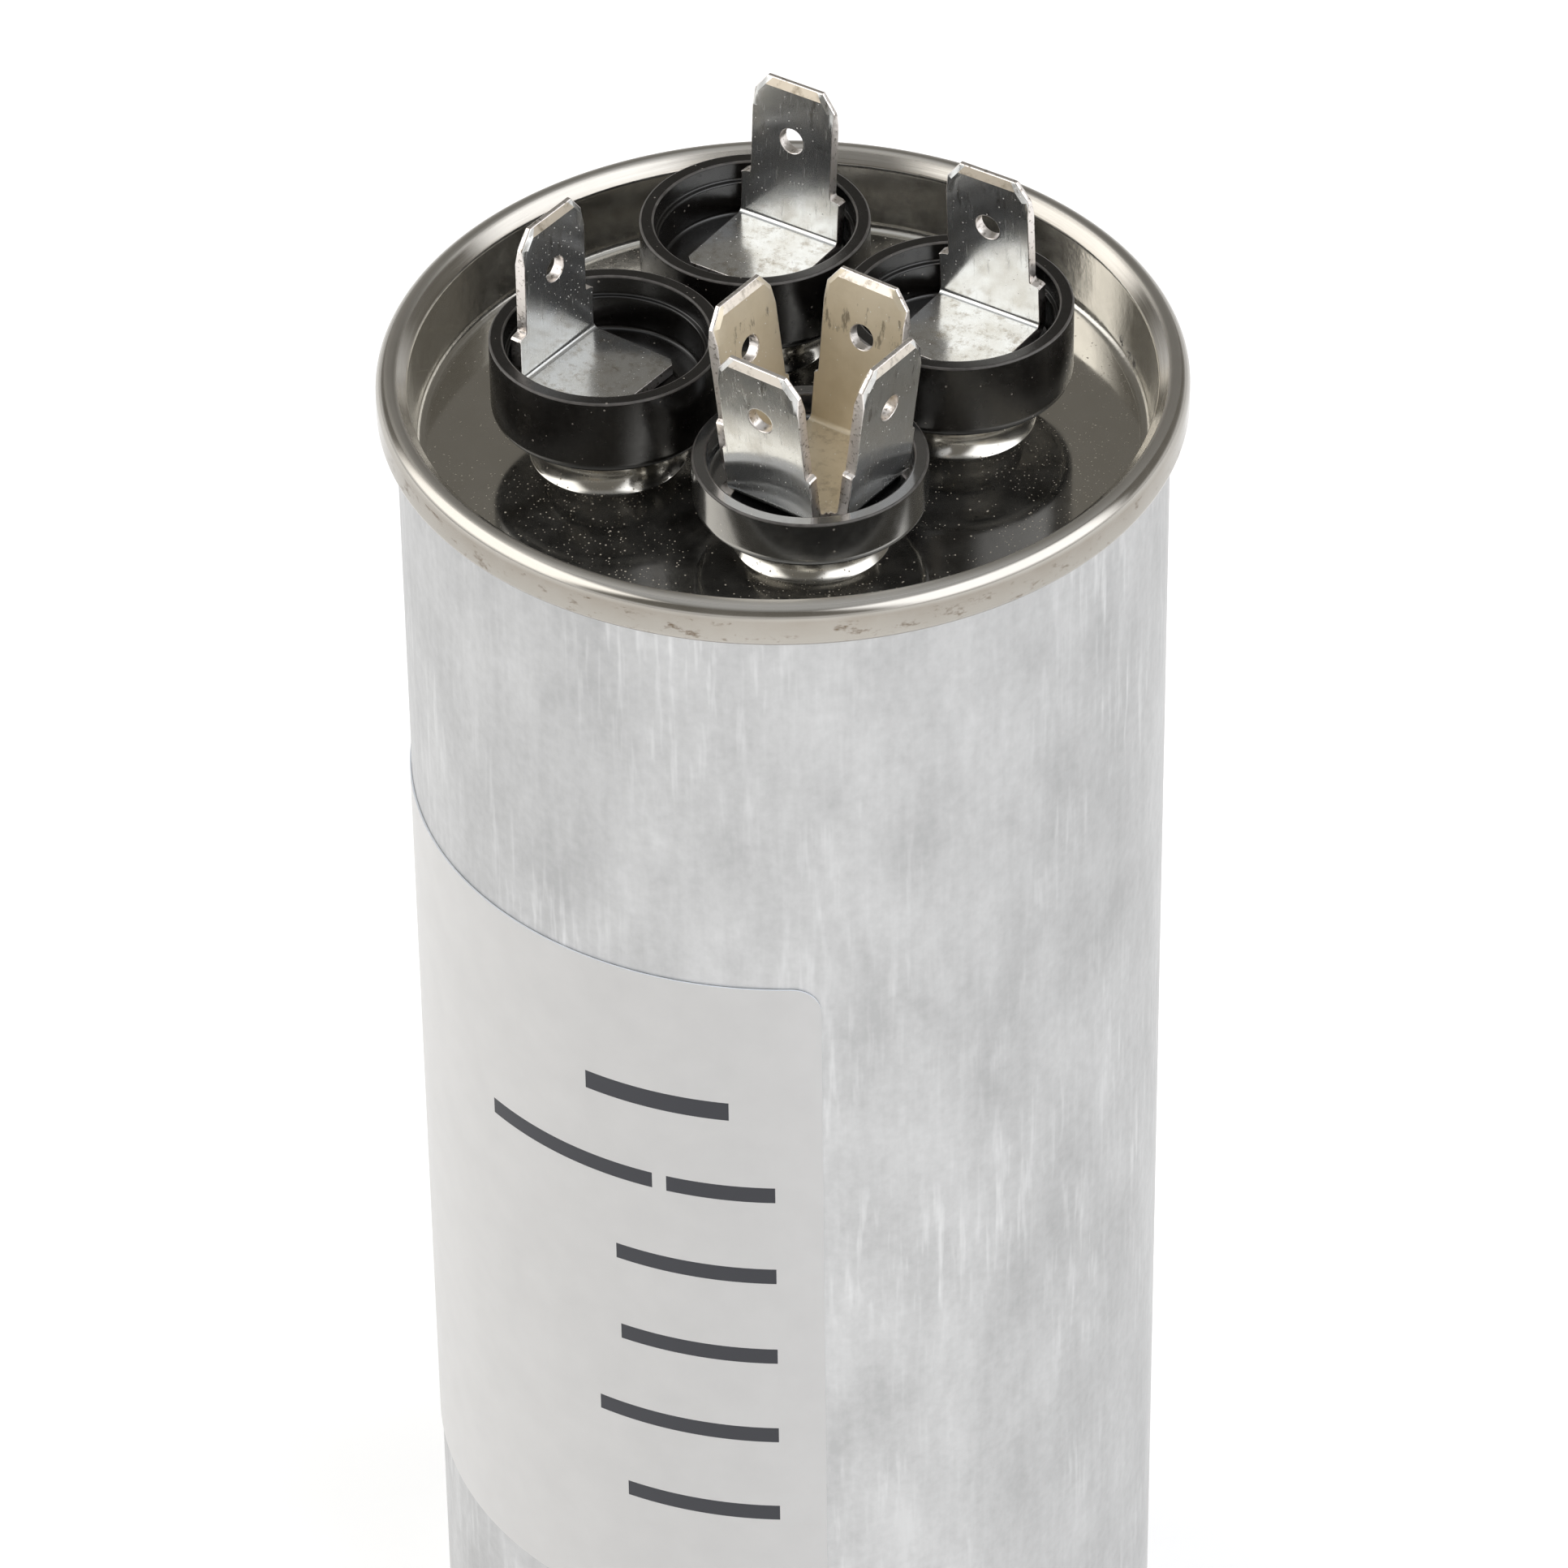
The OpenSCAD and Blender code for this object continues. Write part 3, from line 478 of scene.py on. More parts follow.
def innerFinish(name, low, high, size, metallic, rough):
    # Plain finish of a hidden piece: two tones of its own material in a grain of its real size
    material, tree, shader, place = newMaterial(name)
    spots = addNode(tree, "TexNoise", {"Vector": place, "Scale": grain(size), "Detail": 4}).outputs[0]
    base = addNode(tree, "Mix", {0: spots, 6: linear(low), 7: linear(high)}, data_type="RGBA").outputs[2]
    bump = addNode(tree, "Bump", {"Height": spots, "Strength": 0.3, "Distance": 0.1 * size * mm}).outputs[0]
    setInputs(tree, shader, {"Base Color": base, "Normal": bump, "Metallic": metallic, "Roughness": rough})
    return material


canMetal = drawnAluminium()
lidMetal = drawnTinplate()
sectionMetal = rolledTinplate("rolled tinplate", dict(
    bright="#DBDCDB", tarnish="#C4BFB4", scuff="#968B79", rough=(0.13, 0.22), haze=0.91,
    rub=0.6, rubHeight=boxMm("tab_section_2")[1][2] - 2.2, rubReach=1.9))
# painted light: a warmer, half-diffuse copy of the tab tinplate for the common tab's inner faces, standing
# in for light bounced between its blades; the tarnish mottle in it is the metal's own
bounceLitTinplate = rolledTinplate("tinplate with painted bounce light", dict(
    bright="#DBD0BA", tarnish="#C6B99E", scuff="#A79A84", rough=(0.3, 0.42), haze=0.48,
    rub=0.7, rubHeight=boxMm("tab_common")[1][2] - 3.2, rubReach=1.3))
sectionCoin = coinedTinplate("coined tinplate", "#BDB3A4", "#8C8272")
commonCoin = coinedTinplate("pale coined tinplate", "#D9D1C6", "#948C80")
edgeMetal = shearedTinplate()
cupBlack = mouldedPlastic("moulded black plastic", dict(
    dark="#0D0B0A", light="#110F0D", grain=0.5, rough=(0.2, 0.28), bump=0.01, specular=0.8, coat=0,
    ior=1.5))
cupGrey = mouldedPlastic("turned dark plastic", dict(
    dark="#161616", light="#1E1F20", grain=0.6, rough=(0.15, 0.24), bump=0.015, specular=0.85, coat=1,
    ior=1.85))
cupWorn = mouldedPlastic("worn plastic edge", dict(
    dark="#1A1817", light="#6B6763", grain=0.6, rough=(0.3, 0.5), bump=0.3, specular=0.6, coat=0, ior=1.5))
filmWhite = labelFilm("coated label film", "#DAD9D8", 0.38)
filmInk = labelFilm("printed ink", "#2B2C33", 0.42)
# painted highlight: the film's cut edge is paler and bluer than the film, for the thin light line along the
# label's top
filmEdgeHighlight = labelFilm("cut film edge with painted highlight", "#E6EBF2", 0.5)
print("materials made:", len(bpy.data.materials))


# Can: base, wall and the edge folded over inside the seam, as one closed turned section

canShape = dict(radius=25.4, wall=0.5, baseCorner=3, foldTop=114.262, foldWidth=1.37, hookWidth=0.5,
                hookEnd=112.54)


def makeCan(shape):
    r, t, corner = shape["radius"], shape["wall"], shape["baseCorner"]
    outer = r - t + shape["foldWidth"]
    inner = outer - shape["hookWidth"]
    top = shape["foldTop"]
    section = roundedPath([
        (0, t, 0), (r - t, t, corner - t),
        (r - t, top, shape["foldWidth"] / 2), (outer, top, shape["foldWidth"] / 2),
        (outer, shape["hookEnd"], 0), (inner, shape["hookEnd"], 0),
        (inner, top - t, (inner - r) / 2), (r, top - t, (inner - r) / 2),
        (r, 0, corner), (0, 0, 0)])
    can = makePiece("can_shell", [(revolve(section, turn), 0)], [canMetal])
    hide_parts("can")


makeCan(canShape)
print("can made")


# Lid: four bosses on a sunken panel, the wall round it and the rolled seam, with an even sheet thickness

lidShape = dict(thickness=0.35, panelDepth=5.5, bend=0.6, wallTop=24.54, wallLean=0.45, wallEdge=0.4,
                wallDrop=0.9, crest=25.42, crestEdge=0.4, crown=1.0, seamHeight=3.06, hookWidth=1.22,
                hookEnd=113.567, bossNeck=4.35, bossShoulder=0.6, bossFlare=2.25, flareTop=0.713,
                bossFoot=5.2, footEdge=0.12, bossHole=2.2, panelRows=10, rowSpread=1.3)


def sectorRim(radius, centre, straight=33, curved=65):
    # outline of a quarter of the panel round one boss: along one straight edge to the middle, out along
    # the other, then back round the panel's edge; points run anticlockwise round the boss
    start = math.atan2(centre[1], centre[0]) - math.pi / 4
    first = np.array([math.cos(start), math.sin(start)])
    second = np.array([-first[1], first[0]])
    run = np.linspace(0, radius, straight)[:, None]
    sweep = start + np.linspace(0, math.pi / 2, curved)
    arc = radius * np.stack([np.cos(sweep), np.sin(sweep)], -1)
    return np.vstack([arc, (run * second)[::-1][1:], (run * first)[1:]])


def makeLid(shape):
    high = boxMm("lid")[1]
    seamRadius, top = high[0], high[2]
    panel = top - shape["panelDepth"]
    wallFoot = shape["wallTop"] - shape["wallLean"]
    hookRadius = seamRadius - shape["hookWidth"]
    section = roundedPath([
        (0, panel, 0),
        (wallFoot, panel, shape["bend"]),
        (shape["wallTop"], top - shape["wallDrop"], shape["wallEdge"]),
        (shape["crest"], top, shape["crestEdge"]),
        (seamRadius, top, shape["crown"]),
        (seamRadius, top - shape["seamHeight"], shape["hookWidth"] / 2),
        (hookRadius, top - shape["seamHeight"], shape["hookWidth"] / 2),
        (hookRadius, shape["hookEnd"], 0)])[1:]
    patches = [(revolve(section, turn), 0)]
    for node in ("cup_section_1", "cup_section_2", "cup_section_3", "cup_common"):
        cupLow, cupHigh = boxMm(node)
        centre = (cupLow[:2] + cupHigh[:2]) / 2
        bossTop = cupLow[2] + shape["thickness"]
        rim = sectorRim(section[0, 0], centre)
        angles = np.arctan2(rim[:, 1] - centre[1], rim[:, 0] - centre[0])
        boss = roundedPath([
            (shape["bossHole"], bossTop, 0),
            (shape["bossNeck"], bossTop, shape["bossShoulder"]),
            (shape["bossNeck"], panel + shape["flareTop"], shape["bossFlare"]),
            (shape["bossFoot"], panel, shape["footEdge"]),
            (shape["bossFoot"] + 1, panel, 0)], steps=12)[:-1]
        rings = revolve(boss, angles, centre)
        # rows run straight from the boss's foot to the sector's outline, closest at the foot
        t = (np.linspace(0, 1, shape["panelRows"]) ** shape["rowSpread"])[:, None, None]
        edge = np.concatenate([rim, np.full((len(rim), 1), panel)], 1)
        patches += [(rings, 0), (rings[-1] * (1 - t) + edge * t, 0)]
    lid = makePiece("lid_shell", patches, [lidMetal], closed=False)
    sheet = lid.modifiers.new("sheet", "SOLIDIFY")
    sheet.thickness = shape["thickness"] * mm
    sheet.offset = -1
    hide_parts("lid")


makeLid(lidShape)
print("lid made")


# Insulating cups: a stepped bore in each section's cup, a plain one in the common cup

cupShape = dict(wall=0.95, floor=1.8, boreEdge=0.3, stepDepth=1.4, stepWidth=0.35, lowerEdge=0.8,
                rimEdge=0.14, sleeve=0.35, sleeveRadius=2.15, rivetHole=1.55, headRadius=2.65,
                headDepth=0.6)


def makeCup(node, shape, step, body):
    low, high = boxMm(node)
    centre = (low[:2] + high[:2]) / 2
    r = (high[0] - low[0]) / 2
    base = low[2] + shape["sleeve"]
    floor = base + shape["floor"]
    bore = r - shape["wall"]
    soft = shape["rimEdge"]
    edgeSteps = 6
    stepTop = high[2] - shape["stepDepth"]
    stepped = [(bore - step, floor, shape["boreEdge"])]
    if step:
        stepped += [(bore - step, stepTop, soft), (bore, stepTop, soft)]
    section = roundedPath([
        (shape["rivetHole"], low[2], 0), (shape["rivetHole"], floor - shape["headDepth"], 0),
        (shape["headRadius"], floor - shape["headDepth"], 0), (shape["headRadius"], floor, 0),
        *stepped, (bore, high[2], soft), (r, high[2], soft), (r, base, shape["lowerEdge"]),
        (shape["sleeveRadius"], base, 0), (shape["sleeveRadius"], low[2], 0),
        (shape["rivetHole"], low[2], 0)], steps=edgeSteps)
    # the rim's two rounded edges are worn pale
    grid = revolve(section, turn[::2], centre)
    rim = np.flatnonzero(section[:, 1] > high[2] - soft - 0.001)
    cuts = [0, rim[0], rim[0] + edgeSteps, rim[-1] - edgeSteps, rim[-1], len(grid) - 1]
    patches = [(grid[a:b + 1], kind) for a, b, kind in zip(cuts, cuts[1:], (0, 1, 0, 1, 0))]
    cup = makePiece(node + "_body", patches, [body, cupWorn])
    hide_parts(node)


for node in ("cup_section_1", "cup_section_2", "cup_section_3"):
    makeCup(node, cupShape, cupShape["stepWidth"], cupBlack)
makeCup("cup_common", cupShape, 0, cupGrey)
print("cups made")


# Tabs: a flat strip with its hole, chamfers and coined tip, bent up from its foot

tabShape = dict(thickness=0.8, bladeWidth=6.3, hole=1.8, holeDrop=4.25, holeMargin=1.8, chamferWidth=1,
                chamferHeight=1.3, coinHeight=0.6, coinSide=0.35, coinDepth=0.25, edge=0.06, support=0.04,
                sharpAngle=18)
sectionTab = dict(footWidth=7.7, footReach=2.8, footCut=0.5, setback=4.05, bend=0.4, shoulder=3.15,
                  blade=10.95)
commonTab = dict(reach=4.597, bend=0.4, blade=11.55, splay=7.5, offset=0.25, foot=3.674, width=6.9,
                 shoulder=3.5)
sectionTabs = dict(tab_section_1=dict(cup="cup_section_1", way=-87, lean=3),
                   tab_section_2=dict(cup="cup_section_2", way=-87, lean=-4),
                   tab_section_3=dict(cup="cup_section_3", way=-0.5, lean=0))
# torn shoulder: distance along the strip from the shoulder, and how far the edge has come in, as a share
ear = dict(along=[-0.3, -0.1, 0.02, 0.12, 0.3], share=[0, -0.07, 0.2, 0.9, 1])
# rounding of a cut edge: how far the face is still up, how far the outline is drawn in, the sheet's side
edgeTurn = np.radians(np.linspace(0, 90, 7))
edgeLayers = [(math.cos(a), 1 - math.sin(a), side) for side in (1, -1) for a in edgeTurn[::side]]


def bendUp(sheet, start, radius, angle):
    # sheet holds (s, y, h): distance along the strip, across it, and above its middle; after start the
    # strip turns upwards on an arc of this radius by this angle, then runs straight on
    s, y, h = np.moveaxis(sheet, -1, 0)
    turned = np.clip((s - start) / radius, 0, angle)
    rest = np.maximum(s - start - radius * angle, 0)
    x = np.minimum(s, start) + radius * np.sin(turned) + rest * math.cos(angle)
    z = radius * (1 - np.cos(turned)) + rest * math.sin(angle)
    return np.stack([x - h * np.sin(turned), y, z + h * np.cos(turned)], -1)


def coinedHalf(s, y, tip):
    # half the thickness, which falls in a straight line over the coin's width at the tip and each chamfer
    shape = tabShape
    corner = np.abs(y) - shape["bladeWidth"] / 2 + shape["chamferWidth"]
    slant = math.hypot(shape["chamferWidth"], shape["chamferHeight"])
    fromChamfer = ((tip - s) * shape["chamferWidth"] - corner * shape["chamferHeight"]) / slant
    share = np.minimum((tip - s) / shape["coinHeight"], fromChamfer / shape["coinSide"])
    return shape["thickness"] / 2 - shape["coinDepth"] * (1 - np.clip(share, 0, 1))


def columnsAt(half, inset):
    # the outer columns follow the cut edge, each with a close support; the next pair follows the coin's
    # inner edge, and the rest lie evenly between
    shape = tabShape
    slant = math.hypot(shape["chamferWidth"], shape["chamferHeight"]) / shape["chamferHeight"]
    rim = (half - inset)[:, None]
    near = rim - shape["support"]
    middle = (half - shape["coinSide"] * slant)[:, None] * np.linspace(-1, 1, 13)
    return np.hstack([-rim, -near, middle, near, rim])


def stripPatches(rows, half, tip, startOpen):
    # strip of half width half at each row: two faces with a round hole, and the rounded edges between them
    shape = tabShape
    edge = shape["edge"]
    holeAt = tip - shape["holeDrop"]
    first, last = np.flatnonzero(np.abs(rows - holeAt) < shape["holeMargin"] + shape["support"])[[0, -1]]

    def outlineAt(inset):
        s = rows.copy()
        s[-1] -= inset
        s[0] += 0 if startOpen else inset
        return s, columnsAt(half, inset)

    def loopAt(inset):
        # up one edge, over the tip, down the other edge, and across the start unless it is open
        s, y = outlineAt(inset)
        grid = np.stack([np.broadcast_to(s[:, None], y.shape), y], -1)
        parts = [grid[:, -1], grid[-1, ::-1], grid[::-1, 0]]
        return np.vstack(parts if startOpen else parts + [grid[0]])

    def holeLoop(inset):
        radius = shape["hole"] / 2 + inset
        return np.stack([holeAt + radius * np.cos(angles), radius * np.sin(angles)], -1)

    def raised(points, up, side):
        s, y = points[..., 0], points[..., 1]
        return np.stack([s, y, side * (coinedHalf(s, y, tip) - edge * (1 - up))], -1)

    s, y = outlineAt(edge)
    flat = np.stack([np.broadcast_to(s[:, None], y.shape), y], -1)
    ring = np.vstack([flat[first], flat[first + 1:last, -1], flat[last, ::-1], flat[first:last, 0][::-1]])
    angles = np.arctan2(ring[:, 1], ring[:, 0] - holeAt)
    t = np.array([0, 0.04, 0.3, 0.65, 0.98, 1])[:, None, None]
    around = holeLoop(edge) * (1 - t) + ring * t
    coin = np.searchsorted(rows, tip - shape["coinHeight"] - 0.001)
    faces = [(flat[:first + 1], 0), (flat[last:coin + 1], 0), (flat[coin:, :3], 0), (flat[coin:, 2:-2], 2),
             (flat[coin:, -3:], 0), (around, 0)]
    # the upper face, which ends up inside the bend, may have a finish of its own; on the common tab it is
    # the copy with painted bounce light
    patches = [(raised(part, 1, side), kind or (side > 0) * 3) for side in (1, -1) for part, kind in faces]
    for lineAt in (loopAt, holeLoop):
        layers = [raised(lineAt(edge * inset), up, side) for up, inset, side in edgeLayers]
        patches.append((np.stack(layers), 1))
    return patches


def stripRows(keys, start, bent, tip):
    # rows at the outline's own corners, through the bend, beside the hole and over the coined tip
    shape = tabShape
    hole = tip - shape["holeDrop"] + shape["holeMargin"] * np.linspace(-1, 1, 9)
    coin = tip - np.array([shape["chamferHeight"], shape["coinHeight"], shape["coinHeight"] / 2])
    close = [tip - shape["edge"] - shape["support"]]
    return np.unique(np.round(np.concatenate([keys, np.linspace(start, bent, 15), hole, coin, close]), 4))


def finishTab(name, node, patches, outer, inner, coin):
    piece = makePiece(name, patches, [outer, edgeMetal, coin, inner])
    piece.data.set_sharp_from_angle(angle=math.radians(tabShape["sharpAngle"]))
    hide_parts(node)


def makeSectionTab(node, facts):
    shape, tab = tabShape, sectionTab
    cupLow, cupHigh = boxMm(facts["cup"])
    radius = tab["bend"] + shape["thickness"] / 2
    angle = math.radians(90 + facts["lean"])
    start = tab["setback"] - tab["bend"]
    bent = start + radius * angle
    tip = bent + tab["blade"] - tab["bend"]
    shoulder = bent + tab["shoulder"] - tab["bend"]
    free = -tab["footReach"]
    wide, narrow = tab["footWidth"] / 2, shape["bladeWidth"] / 2
    keyRows = [free, free + tab["footCut"], *(shoulder + np.array(ear["along"])),
               tip - shape["chamferHeight"], tip]
    keyHalf = [wide - tab["footCut"], wide, *(wide + (narrow - wide) * np.array(ear["share"])),
               narrow, narrow - shape["chamferWidth"]]
    between = [free + shape["edge"] + shape["support"], *np.linspace(free + 0.9, start, 8)[:-1]]
    rows = stripRows([*keyRows, *between], start, bent, tip)
    half = np.interp(rows, keyRows, keyHalf)
    way = math.radians(facts["way"])
    centre = (cupLow[:2] + cupHigh[:2]) / 2
    footMiddle = cupLow[2] + cupShape["sleeve"] + cupShape["floor"] + shape["thickness"] / 2
    patches = []
    for sheet, kind in stripPatches(rows, half, tip, False):
        x, y, z = np.moveaxis(bendUp(sheet, start, radius, angle), -1, 0)
        # the blade stands on the far side from the way that the foot points
        placed = np.stack([centre[0] - x * math.cos(way) - y * math.sin(way),
                           centre[1] - x * math.sin(way) + y * math.cos(way), footMiddle + z], -1)
        patches.append((placed, kind))
    finishTab(node + "_sheet", node, patches, sectionMetal, sectionMetal, sectionCoin)


def makeCommonTab():
    shape, tab = tabShape, commonTab
    cupLow, cupHigh = boxMm("cup_common")
    edge = shape["edge"]
    thick = shape["thickness"] / 2
    radius = tab["bend"] + thick
    angle = math.radians(90 - tab["splay"])
    start = tab["reach"] - radius
    bent = start + radius * angle
    tip = bent + tab["blade"] - tab["bend"]
    shoulder = bent + tab["shoulder"] - tab["bend"]
    wide, narrow = tab["width"] / 2, shape["bladeWidth"] / 2
    keyRows = [start, *(shoulder + np.array(ear["along"])), tip - shape["chamferHeight"], tip]
    keyHalf = [wide, *(wide + (narrow - wide) * np.array(ear["share"])),
               narrow, narrow - shape["chamferWidth"]]
    between = np.linspace(bent, shoulder, 5)[1:-1]
    rows = stripRows([*keyRows, *between], start, bent, tip)
    half = np.interp(rows, keyRows, keyHalf)

    def cornerLine(inset):
        # from the foot's corner back to the root of a blade
        corner = tab["foot"] - inset
        return np.array([(corner, corner), (corner, wide - inset), (start, wide - inset)])

    def flatSheet(points, h):
        return np.concatenate([points, np.full((*points.shape[:-1], 1), h)], -1)

    line = cornerLine(edge)[:2]
    across = columnsAt(half[:1], edge)[0]
    root = np.stack([np.full(len(across), start), across], -1)
    rim = np.vstack([line * (1, -1), root, line[::-1]])
    spokes = np.linspace(0, 1, 9)[:, None, None]
    flatParts = [(flatSheet(spokes * rim, h), kind) for h, kind in ((thick, 3), (-thick, 0))]
    for mirror in (1, -1):
        walls = [flatSheet(cornerLine(edge * inset) * (1, mirror), side * (thick - edge * (1 - up)))
                 for up, inset, side in edgeLayers]
        flatParts.append((np.stack(walls), 1))
    armParts = [(bendUp(sheet, start, radius, angle), kind)
                for sheet, kind in stripPatches(rows, half, tip, True)]
    middle = np.append((cupLow[:2] + cupHigh[:2]) / 2 + tab["offset"],
                       cupLow[2] + cupShape["sleeve"] + cupShape["floor"] + thick)
    patches = []
    for quarter in range(4):
        c, s = round(math.cos(quarter * math.pi / 2)), round(math.sin(quarter * math.pi / 2))
        spin = np.array([(c, s, 0), (-s, c, 0), (0, 0, 1)])
        patches += [(grid @ spin + middle, kind) for grid, kind in flatParts + armParts]
    # the blades' inner faces take the tinplate with painted bounce light
    finishTab("tab_common_sheet", "tab_common", patches, sectionMetal, bounceLitTinplate, commonCoin)


for node, facts in sectionTabs.items():
    makeSectionTab(node, facts)
makeCommonTab()
print("tabs made")


# Label: film bent round the can, with plain bars where print would stand

labelShape = dict(start=-254, span=205, corner=2, film=0.12, glue=0.02, sharpAngle=30)
# bars are measured back from the label's right end and up from its foot: from, to, foot, height
labelBars = [(6.2, 16.4, 46.6, 1.5), (3.2, 10.6, 39.6, 1.3), (11.6, 25, 39.6, 1.3), (3.2, 14.4, 32.4, 1.3),
             (3.2, 14.2, 25.2, 1.3), (3.2, 16.0, 18.0, 1.3), (3.2, 14.0, 10.8, 1.3)]


def makeLabel(shape, bars):
    low, high = boxMm("label")
    inner = canShape["radius"] + shape["glue"]
    width = math.radians(shape["span"]) * inner
    height = high[2] - low[2]
    corner = shape["corner"]
    bars = np.array(bars)
    arc = corner * (1 - np.cos(np.linspace(0, math.pi / 2, 11)))
    barRows = np.concatenate([bars[:, 2], bars[:, 2] + bars[:, 3]])
    barColumns = width - np.concatenate([bars[:, 0], bars[:, 1]])
    evenRows = np.linspace(0, height, 30)[2:-2]
    v = np.unique(np.round(np.concatenate([arc, height - arc, evenRows, barRows]), 4))
    u = np.unique(np.round(np.concatenate([np.linspace(0, width, 200), barColumns]), 4))
    # near the top and the foot the rows shorten to round the corners
    d = np.minimum(np.minimum(v, height - v), corner)
    inset = corner - np.sqrt(corner ** 2 - (corner - d) ** 2)
    across = width / 2 + (u - width / 2) * (1 - 2 * inset[:, None] / width)
    upward = np.repeat(v[:, None], len(u), 1)

    def wrapped(across, upward, radius):
        # arc length becomes an angle round the can
        a = math.radians(shape["start"]) + across / inner
        return np.stack([radius * np.cos(a), radius * np.sin(a), low[2] + upward], -1)

    front = wrapped(across, upward, inner + shape["film"])
    back = wrapped(across, upward, inner)
    edge = np.stack([np.vstack([g[0], g[1:, -1], g[-1, ::-1][1:], g[:-1, 0][::-1]]) for g in (front, back)])
    label = makePiece("label_film", [(front, 0), (back, 0), (edge, 2)], [filmWhite, filmInk, filmEdgeHighlight])
    # faces of the outer side that lie within a bar take the ink
    mesh = label.data
    centres = np.empty(len(mesh.polygons) * 3)
    mesh.polygons.foreach_get("center", centres)
    x, y, z = centres.reshape(-1, 3).T / mm
    along = np.mod(np.degrees(np.arctan2(y, x)) - shape["start"], 360)
    fromEnd = width - np.radians(along) * inner
    up = z - low[2]
    outer = np.hypot(x, y) > inner + shape["film"] * 0.6
    kinds = np.empty(len(x), np.int32)
    mesh.polygons.foreach_get("material_index", kinds)
    for near, far, foot, tall in bars:
        within = outer & (fromEnd > near) & (fromEnd < far) & (up > foot) & (up < foot + tall)
        kinds[within & (kinds == 0)] = 1
    mesh.polygons.foreach_set("material_index", kinds)
    mesh.set_sharp_from_angle(angle=math.radians(shape["sharpAngle"]))
    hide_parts("label")


makeLabel(labelShape, labelBars)
print("label made")


# Hidden pieces keep their CAD solids and take their own finishes

innerFinishes = {
    "rivet_": innerFinish("plated steel", "#A9A6A0", "#C9C6BF", 0.4, 1, 0.3),
    "washer_": innerFinish("vulcanised fibre", "#8E5F3C", "#A8754C", 0.5, 0, 0.7),
    "lead_": innerFinish("tinned copper strip", "#B98A5C", "#D9B58A", 0.6, 1, 0.32),
    "top_insulator": innerFinish("pressed board", "#B99C6E", "#CDB387", 0.7, 0, 0.8),
    "base_insulator": innerFinish("pressed board base", "#B99C6E", "#CDB387", 0.7, 0, 0.8),
    "film_winding": innerFinish("metallised film roll", "#8F979E", "#B5BCC2", 1.2, 0.7, 0.35),
    "winding_core": innerFinish("moulded core plastic", "#D9D2C0", "#E8E2D2", 0.8, 0, 0.5),
    "zinc_": innerFinish("sprayed zinc", "#70757A", "#A3A8AC", 0.25, 0.8, 0.65)}
for name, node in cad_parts.items():
    for start, finish in innerFinishes.items():
        if name.startswith(start):
            node.data.materials.clear()
            node.data.materials.append(finish)
print("hidden pieces finished")


# Camera: placed from the photo, with angles about the can's axis

camera = dict(azimuth=36.6, pitch=38.36, roll=-0.8, lens=199.5, sensor=36, height=114.676,
              place=(-0.29, -461.9, 330.9))


def cameraFrame(x, y, z):
    # x to the camera's right, y ahead of it and z up, turned into the part's own frame
    a = math.radians(camera["azimuth"])
    return Vector((x * math.cos(a) - y * math.sin(a), x * math.sin(a) + y * math.cos(a), z))


def makeCamera():
    pitch, roll = math.radians(camera["pitch"]), math.radians(camera["roll"])
    right = cameraFrame(1, 0, 0)
    up = cameraFrame(0, math.sin(pitch), math.cos(pitch))
    back = right.cross(up)
    rolledRight = right * math.cos(roll) + up * math.sin(roll)
    rolledUp = up * math.cos(roll) - right * math.sin(roll)
    x, y, z = camera["place"]
    data = bpy.data.cameras.new("camera")
    data.lens, data.sensor_width = camera["lens"], camera["sensor"]
    data.clip_start, data.clip_end = 0.01, 50
    eye = bpy.data.objects.new("camera", data)
    bpy.context.scene.collection.objects.link(eye)
    facing = Matrix((rolledRight, rolledUp, back)).transposed().to_4x4()
    eye.matrix_world = Matrix.Translation(cameraFrame(x, y, z + camera["height"]) * mm) @ facing
    bpy.context.scene.camera = eye


makeCamera()


# Stage: white floor, soft boxes left and right of the camera, and a dim ceiling beyond a pale horizon

# the sky's colour by the upward part of a unit direction, from a pale horizon to a dim wall and ceiling
stage = dict(floor=12, glow=0.45, sideGlow=0.36, dimFrom=62, dimTo=90,
             sky=[(0.04, "#F2F2F2"), (0.22, "#7D7A74"), (0.7, "#74716B"), (0.93, "#CDCFD1")])
softBoxes = dict(left=dict(azimuth=182, elevation=32, distance=1.0, size=(1.6, 1.2), power=12.3,
                           colour="#FFFEFC", fade=0.45),
                 right=dict(azimuth=-28, elevation=32, distance=1.0, size=(1.7, 1.2), power=13.8,
                            colour="#F9FBFF", fade=0.45))


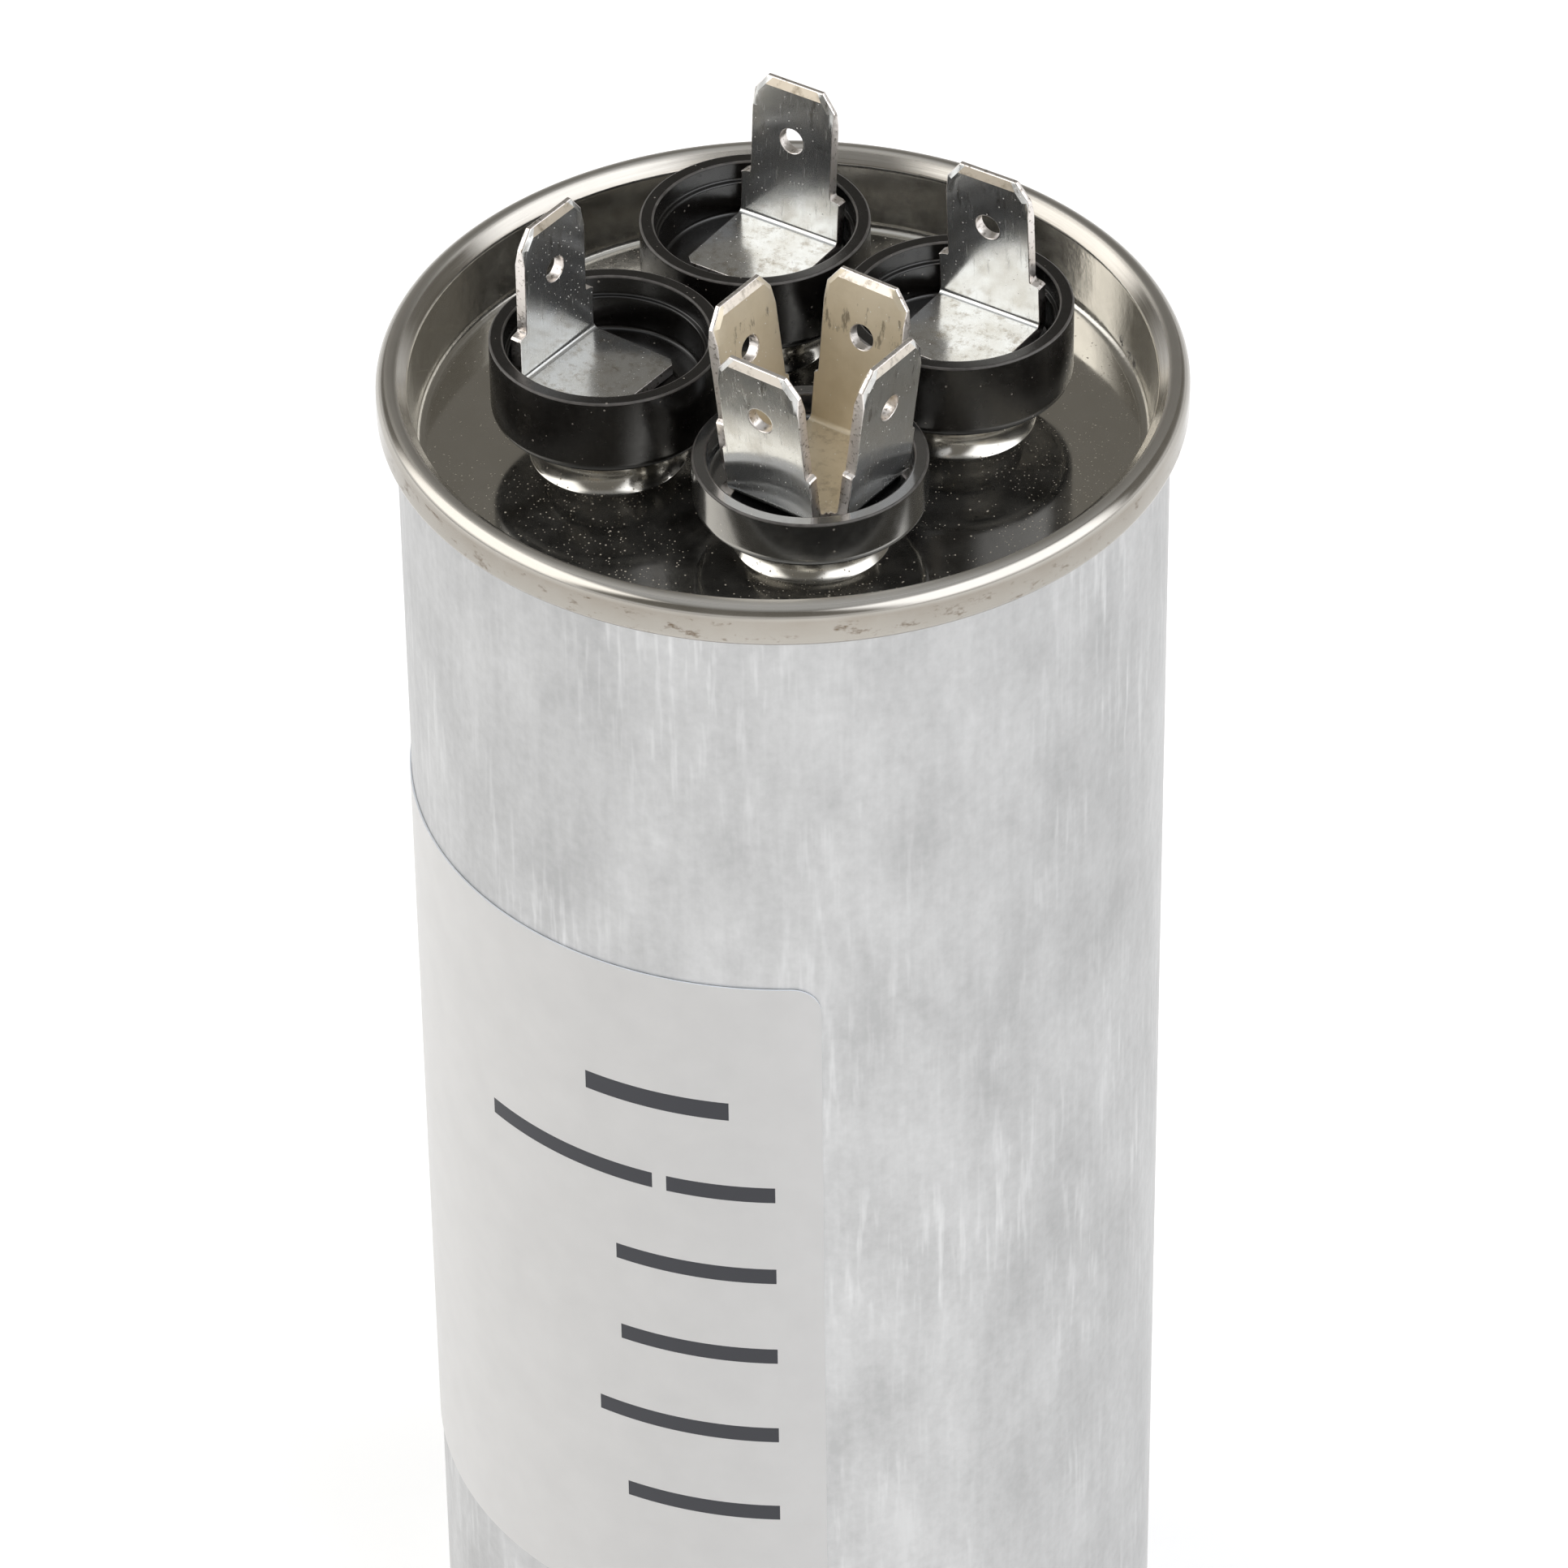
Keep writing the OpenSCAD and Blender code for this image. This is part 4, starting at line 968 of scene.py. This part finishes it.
def makeFloor():
    half = stage["floor"] / 2
    mesh = bpy.data.meshes.new("floor")
    corners = [(-half, -half, 0), (half, -half, 0), (half, half, 0), (-half, half, 0)]
    mesh.from_pydata(corners, [], [(0, 1, 2, 3)])
    floor = bpy.data.objects.new("floor", mesh)
    bpy.context.scene.collection.objects.link(floor)
    material, tree, shader, place = newMaterial("white floor")
    path = addNode(tree, "LightPath").outputs
    seen = addNode(tree, "Math", {0: path["Is Camera Ray"], 1: path["Is Glossy Ray"]}, operation="MAXIMUM")
    seen = addNode(tree, "Math", {0: seen.outputs[0], 1: path["Is Transmission Ray"]}, operation="MAXIMUM")
    # beyond the sides of the picture the floor is dimmer, as at the edges of a lit sheet
    sideways = addNode(tree, "VectorMath", {0: place, 1: cameraFrame(1, 0, 0)},
                       operation="DOT_PRODUCT").outputs["Value"]
    aside = addNode(tree, "Math", {0: sideways}, operation="ABSOLUTE").outputs[0]
    lit = addNode(tree, "MapRange",
                  {"Value": aside, "From Min": stage["dimFrom"] * mm, "From Max": stage["dimTo"] * mm,
                   "To Min": stage["glow"], "To Max": stage["sideGlow"]}).outputs[0]
    glow = addNode(tree, "Math", {0: seen.outputs[0], 1: lit}, operation="MULTIPLY")
    setInputs(tree, shader, {"Emission Strength": glow.outputs[0], "Emission Color": (1, 1, 1, 1),
                             "Base Color": linear("#E8E8E8"), "Roughness": 1, "Specular IOR Level": 0})
    mesh.materials.append(material)


def makeWorld():
    world = bpy.data.worlds.new("studio")
    world.use_nodes = True
    tree = world.node_tree
    way = addNode(tree, "TexCoord").outputs["Generated"]
    up = addNode(tree, "SeparateXYZ", {0: way}).outputs["Z"]
    sky = addNode(tree, "ValToRGB", {0: up})
    stops = sky.color_ramp.elements
    stops.remove(stops[1])
    stops[0].position, stops[0].color = stage["sky"][0][0], linear(stage["sky"][0][1])
    for height, colour in stage["sky"][1:]:
        stops.new(height).color = linear(colour)
    tree.links.new(sky.outputs[0], tree.nodes["Background"].inputs["Color"])
    bpy.context.scene.world = world


def makeSoftBox(name, facts):
    light = bpy.data.lights.new(name, "AREA")
    light.shape = "RECTANGLE"
    light.size, light.size_y = facts["size"]
    light.energy = facts["power"]
    light.color = linear(facts["colour"])[:3]
    # the cloth fades towards its edges: distance from the middle, as a share of the half width and height
    light.use_nodes = True
    tree = light.node_tree
    place = addNode(tree, "NewGeometry").outputs["Parametric"]
    fromMiddle = addNode(tree, "VectorMath", {0: place, 1: (0.5, 0.5, 0)}, operation="SUBTRACT").outputs[0]
    apart = addNode(tree, "VectorMath", {0: fromMiddle}, operation="ABSOLUTE").outputs[0]
    sides = addNode(tree, "SeparateXYZ", {0: apart}).outputs
    share = addNode(tree, "Math", {0: sides["X"], 1: sides["Y"]}, operation="MAXIMUM").outputs[0]
    fade = addNode(tree, "MapRange", {"Value": share, "From Min": 0.5, "From Max": 0.5 - facts["fade"] / 2},
                   interpolation_type="SMOOTHSTEP").outputs[0]
    tree.links.new(fade, tree.nodes["Emission"].inputs["Strength"])
    lamp = bpy.data.objects.new(name, light)
    bpy.context.scene.collection.objects.link(lamp)
    a, e = math.radians(facts["azimuth"]), math.radians(facts["elevation"])
    way = cameraFrame(math.cos(a) * math.cos(e), math.sin(a) * math.cos(e), math.sin(e))
    lamp.location = way * facts["distance"] + Vector((0, 0, camera["height"] * mm))
    lamp.rotation_euler = way.to_track_quat("Z", "Y").to_euler()


makeFloor()
makeWorld()
for name, facts in softBoxes.items():
    makeSoftBox(name, facts)
bpy.context.scene.view_settings.view_transform = "Standard"
print("camera, floor and lights made")
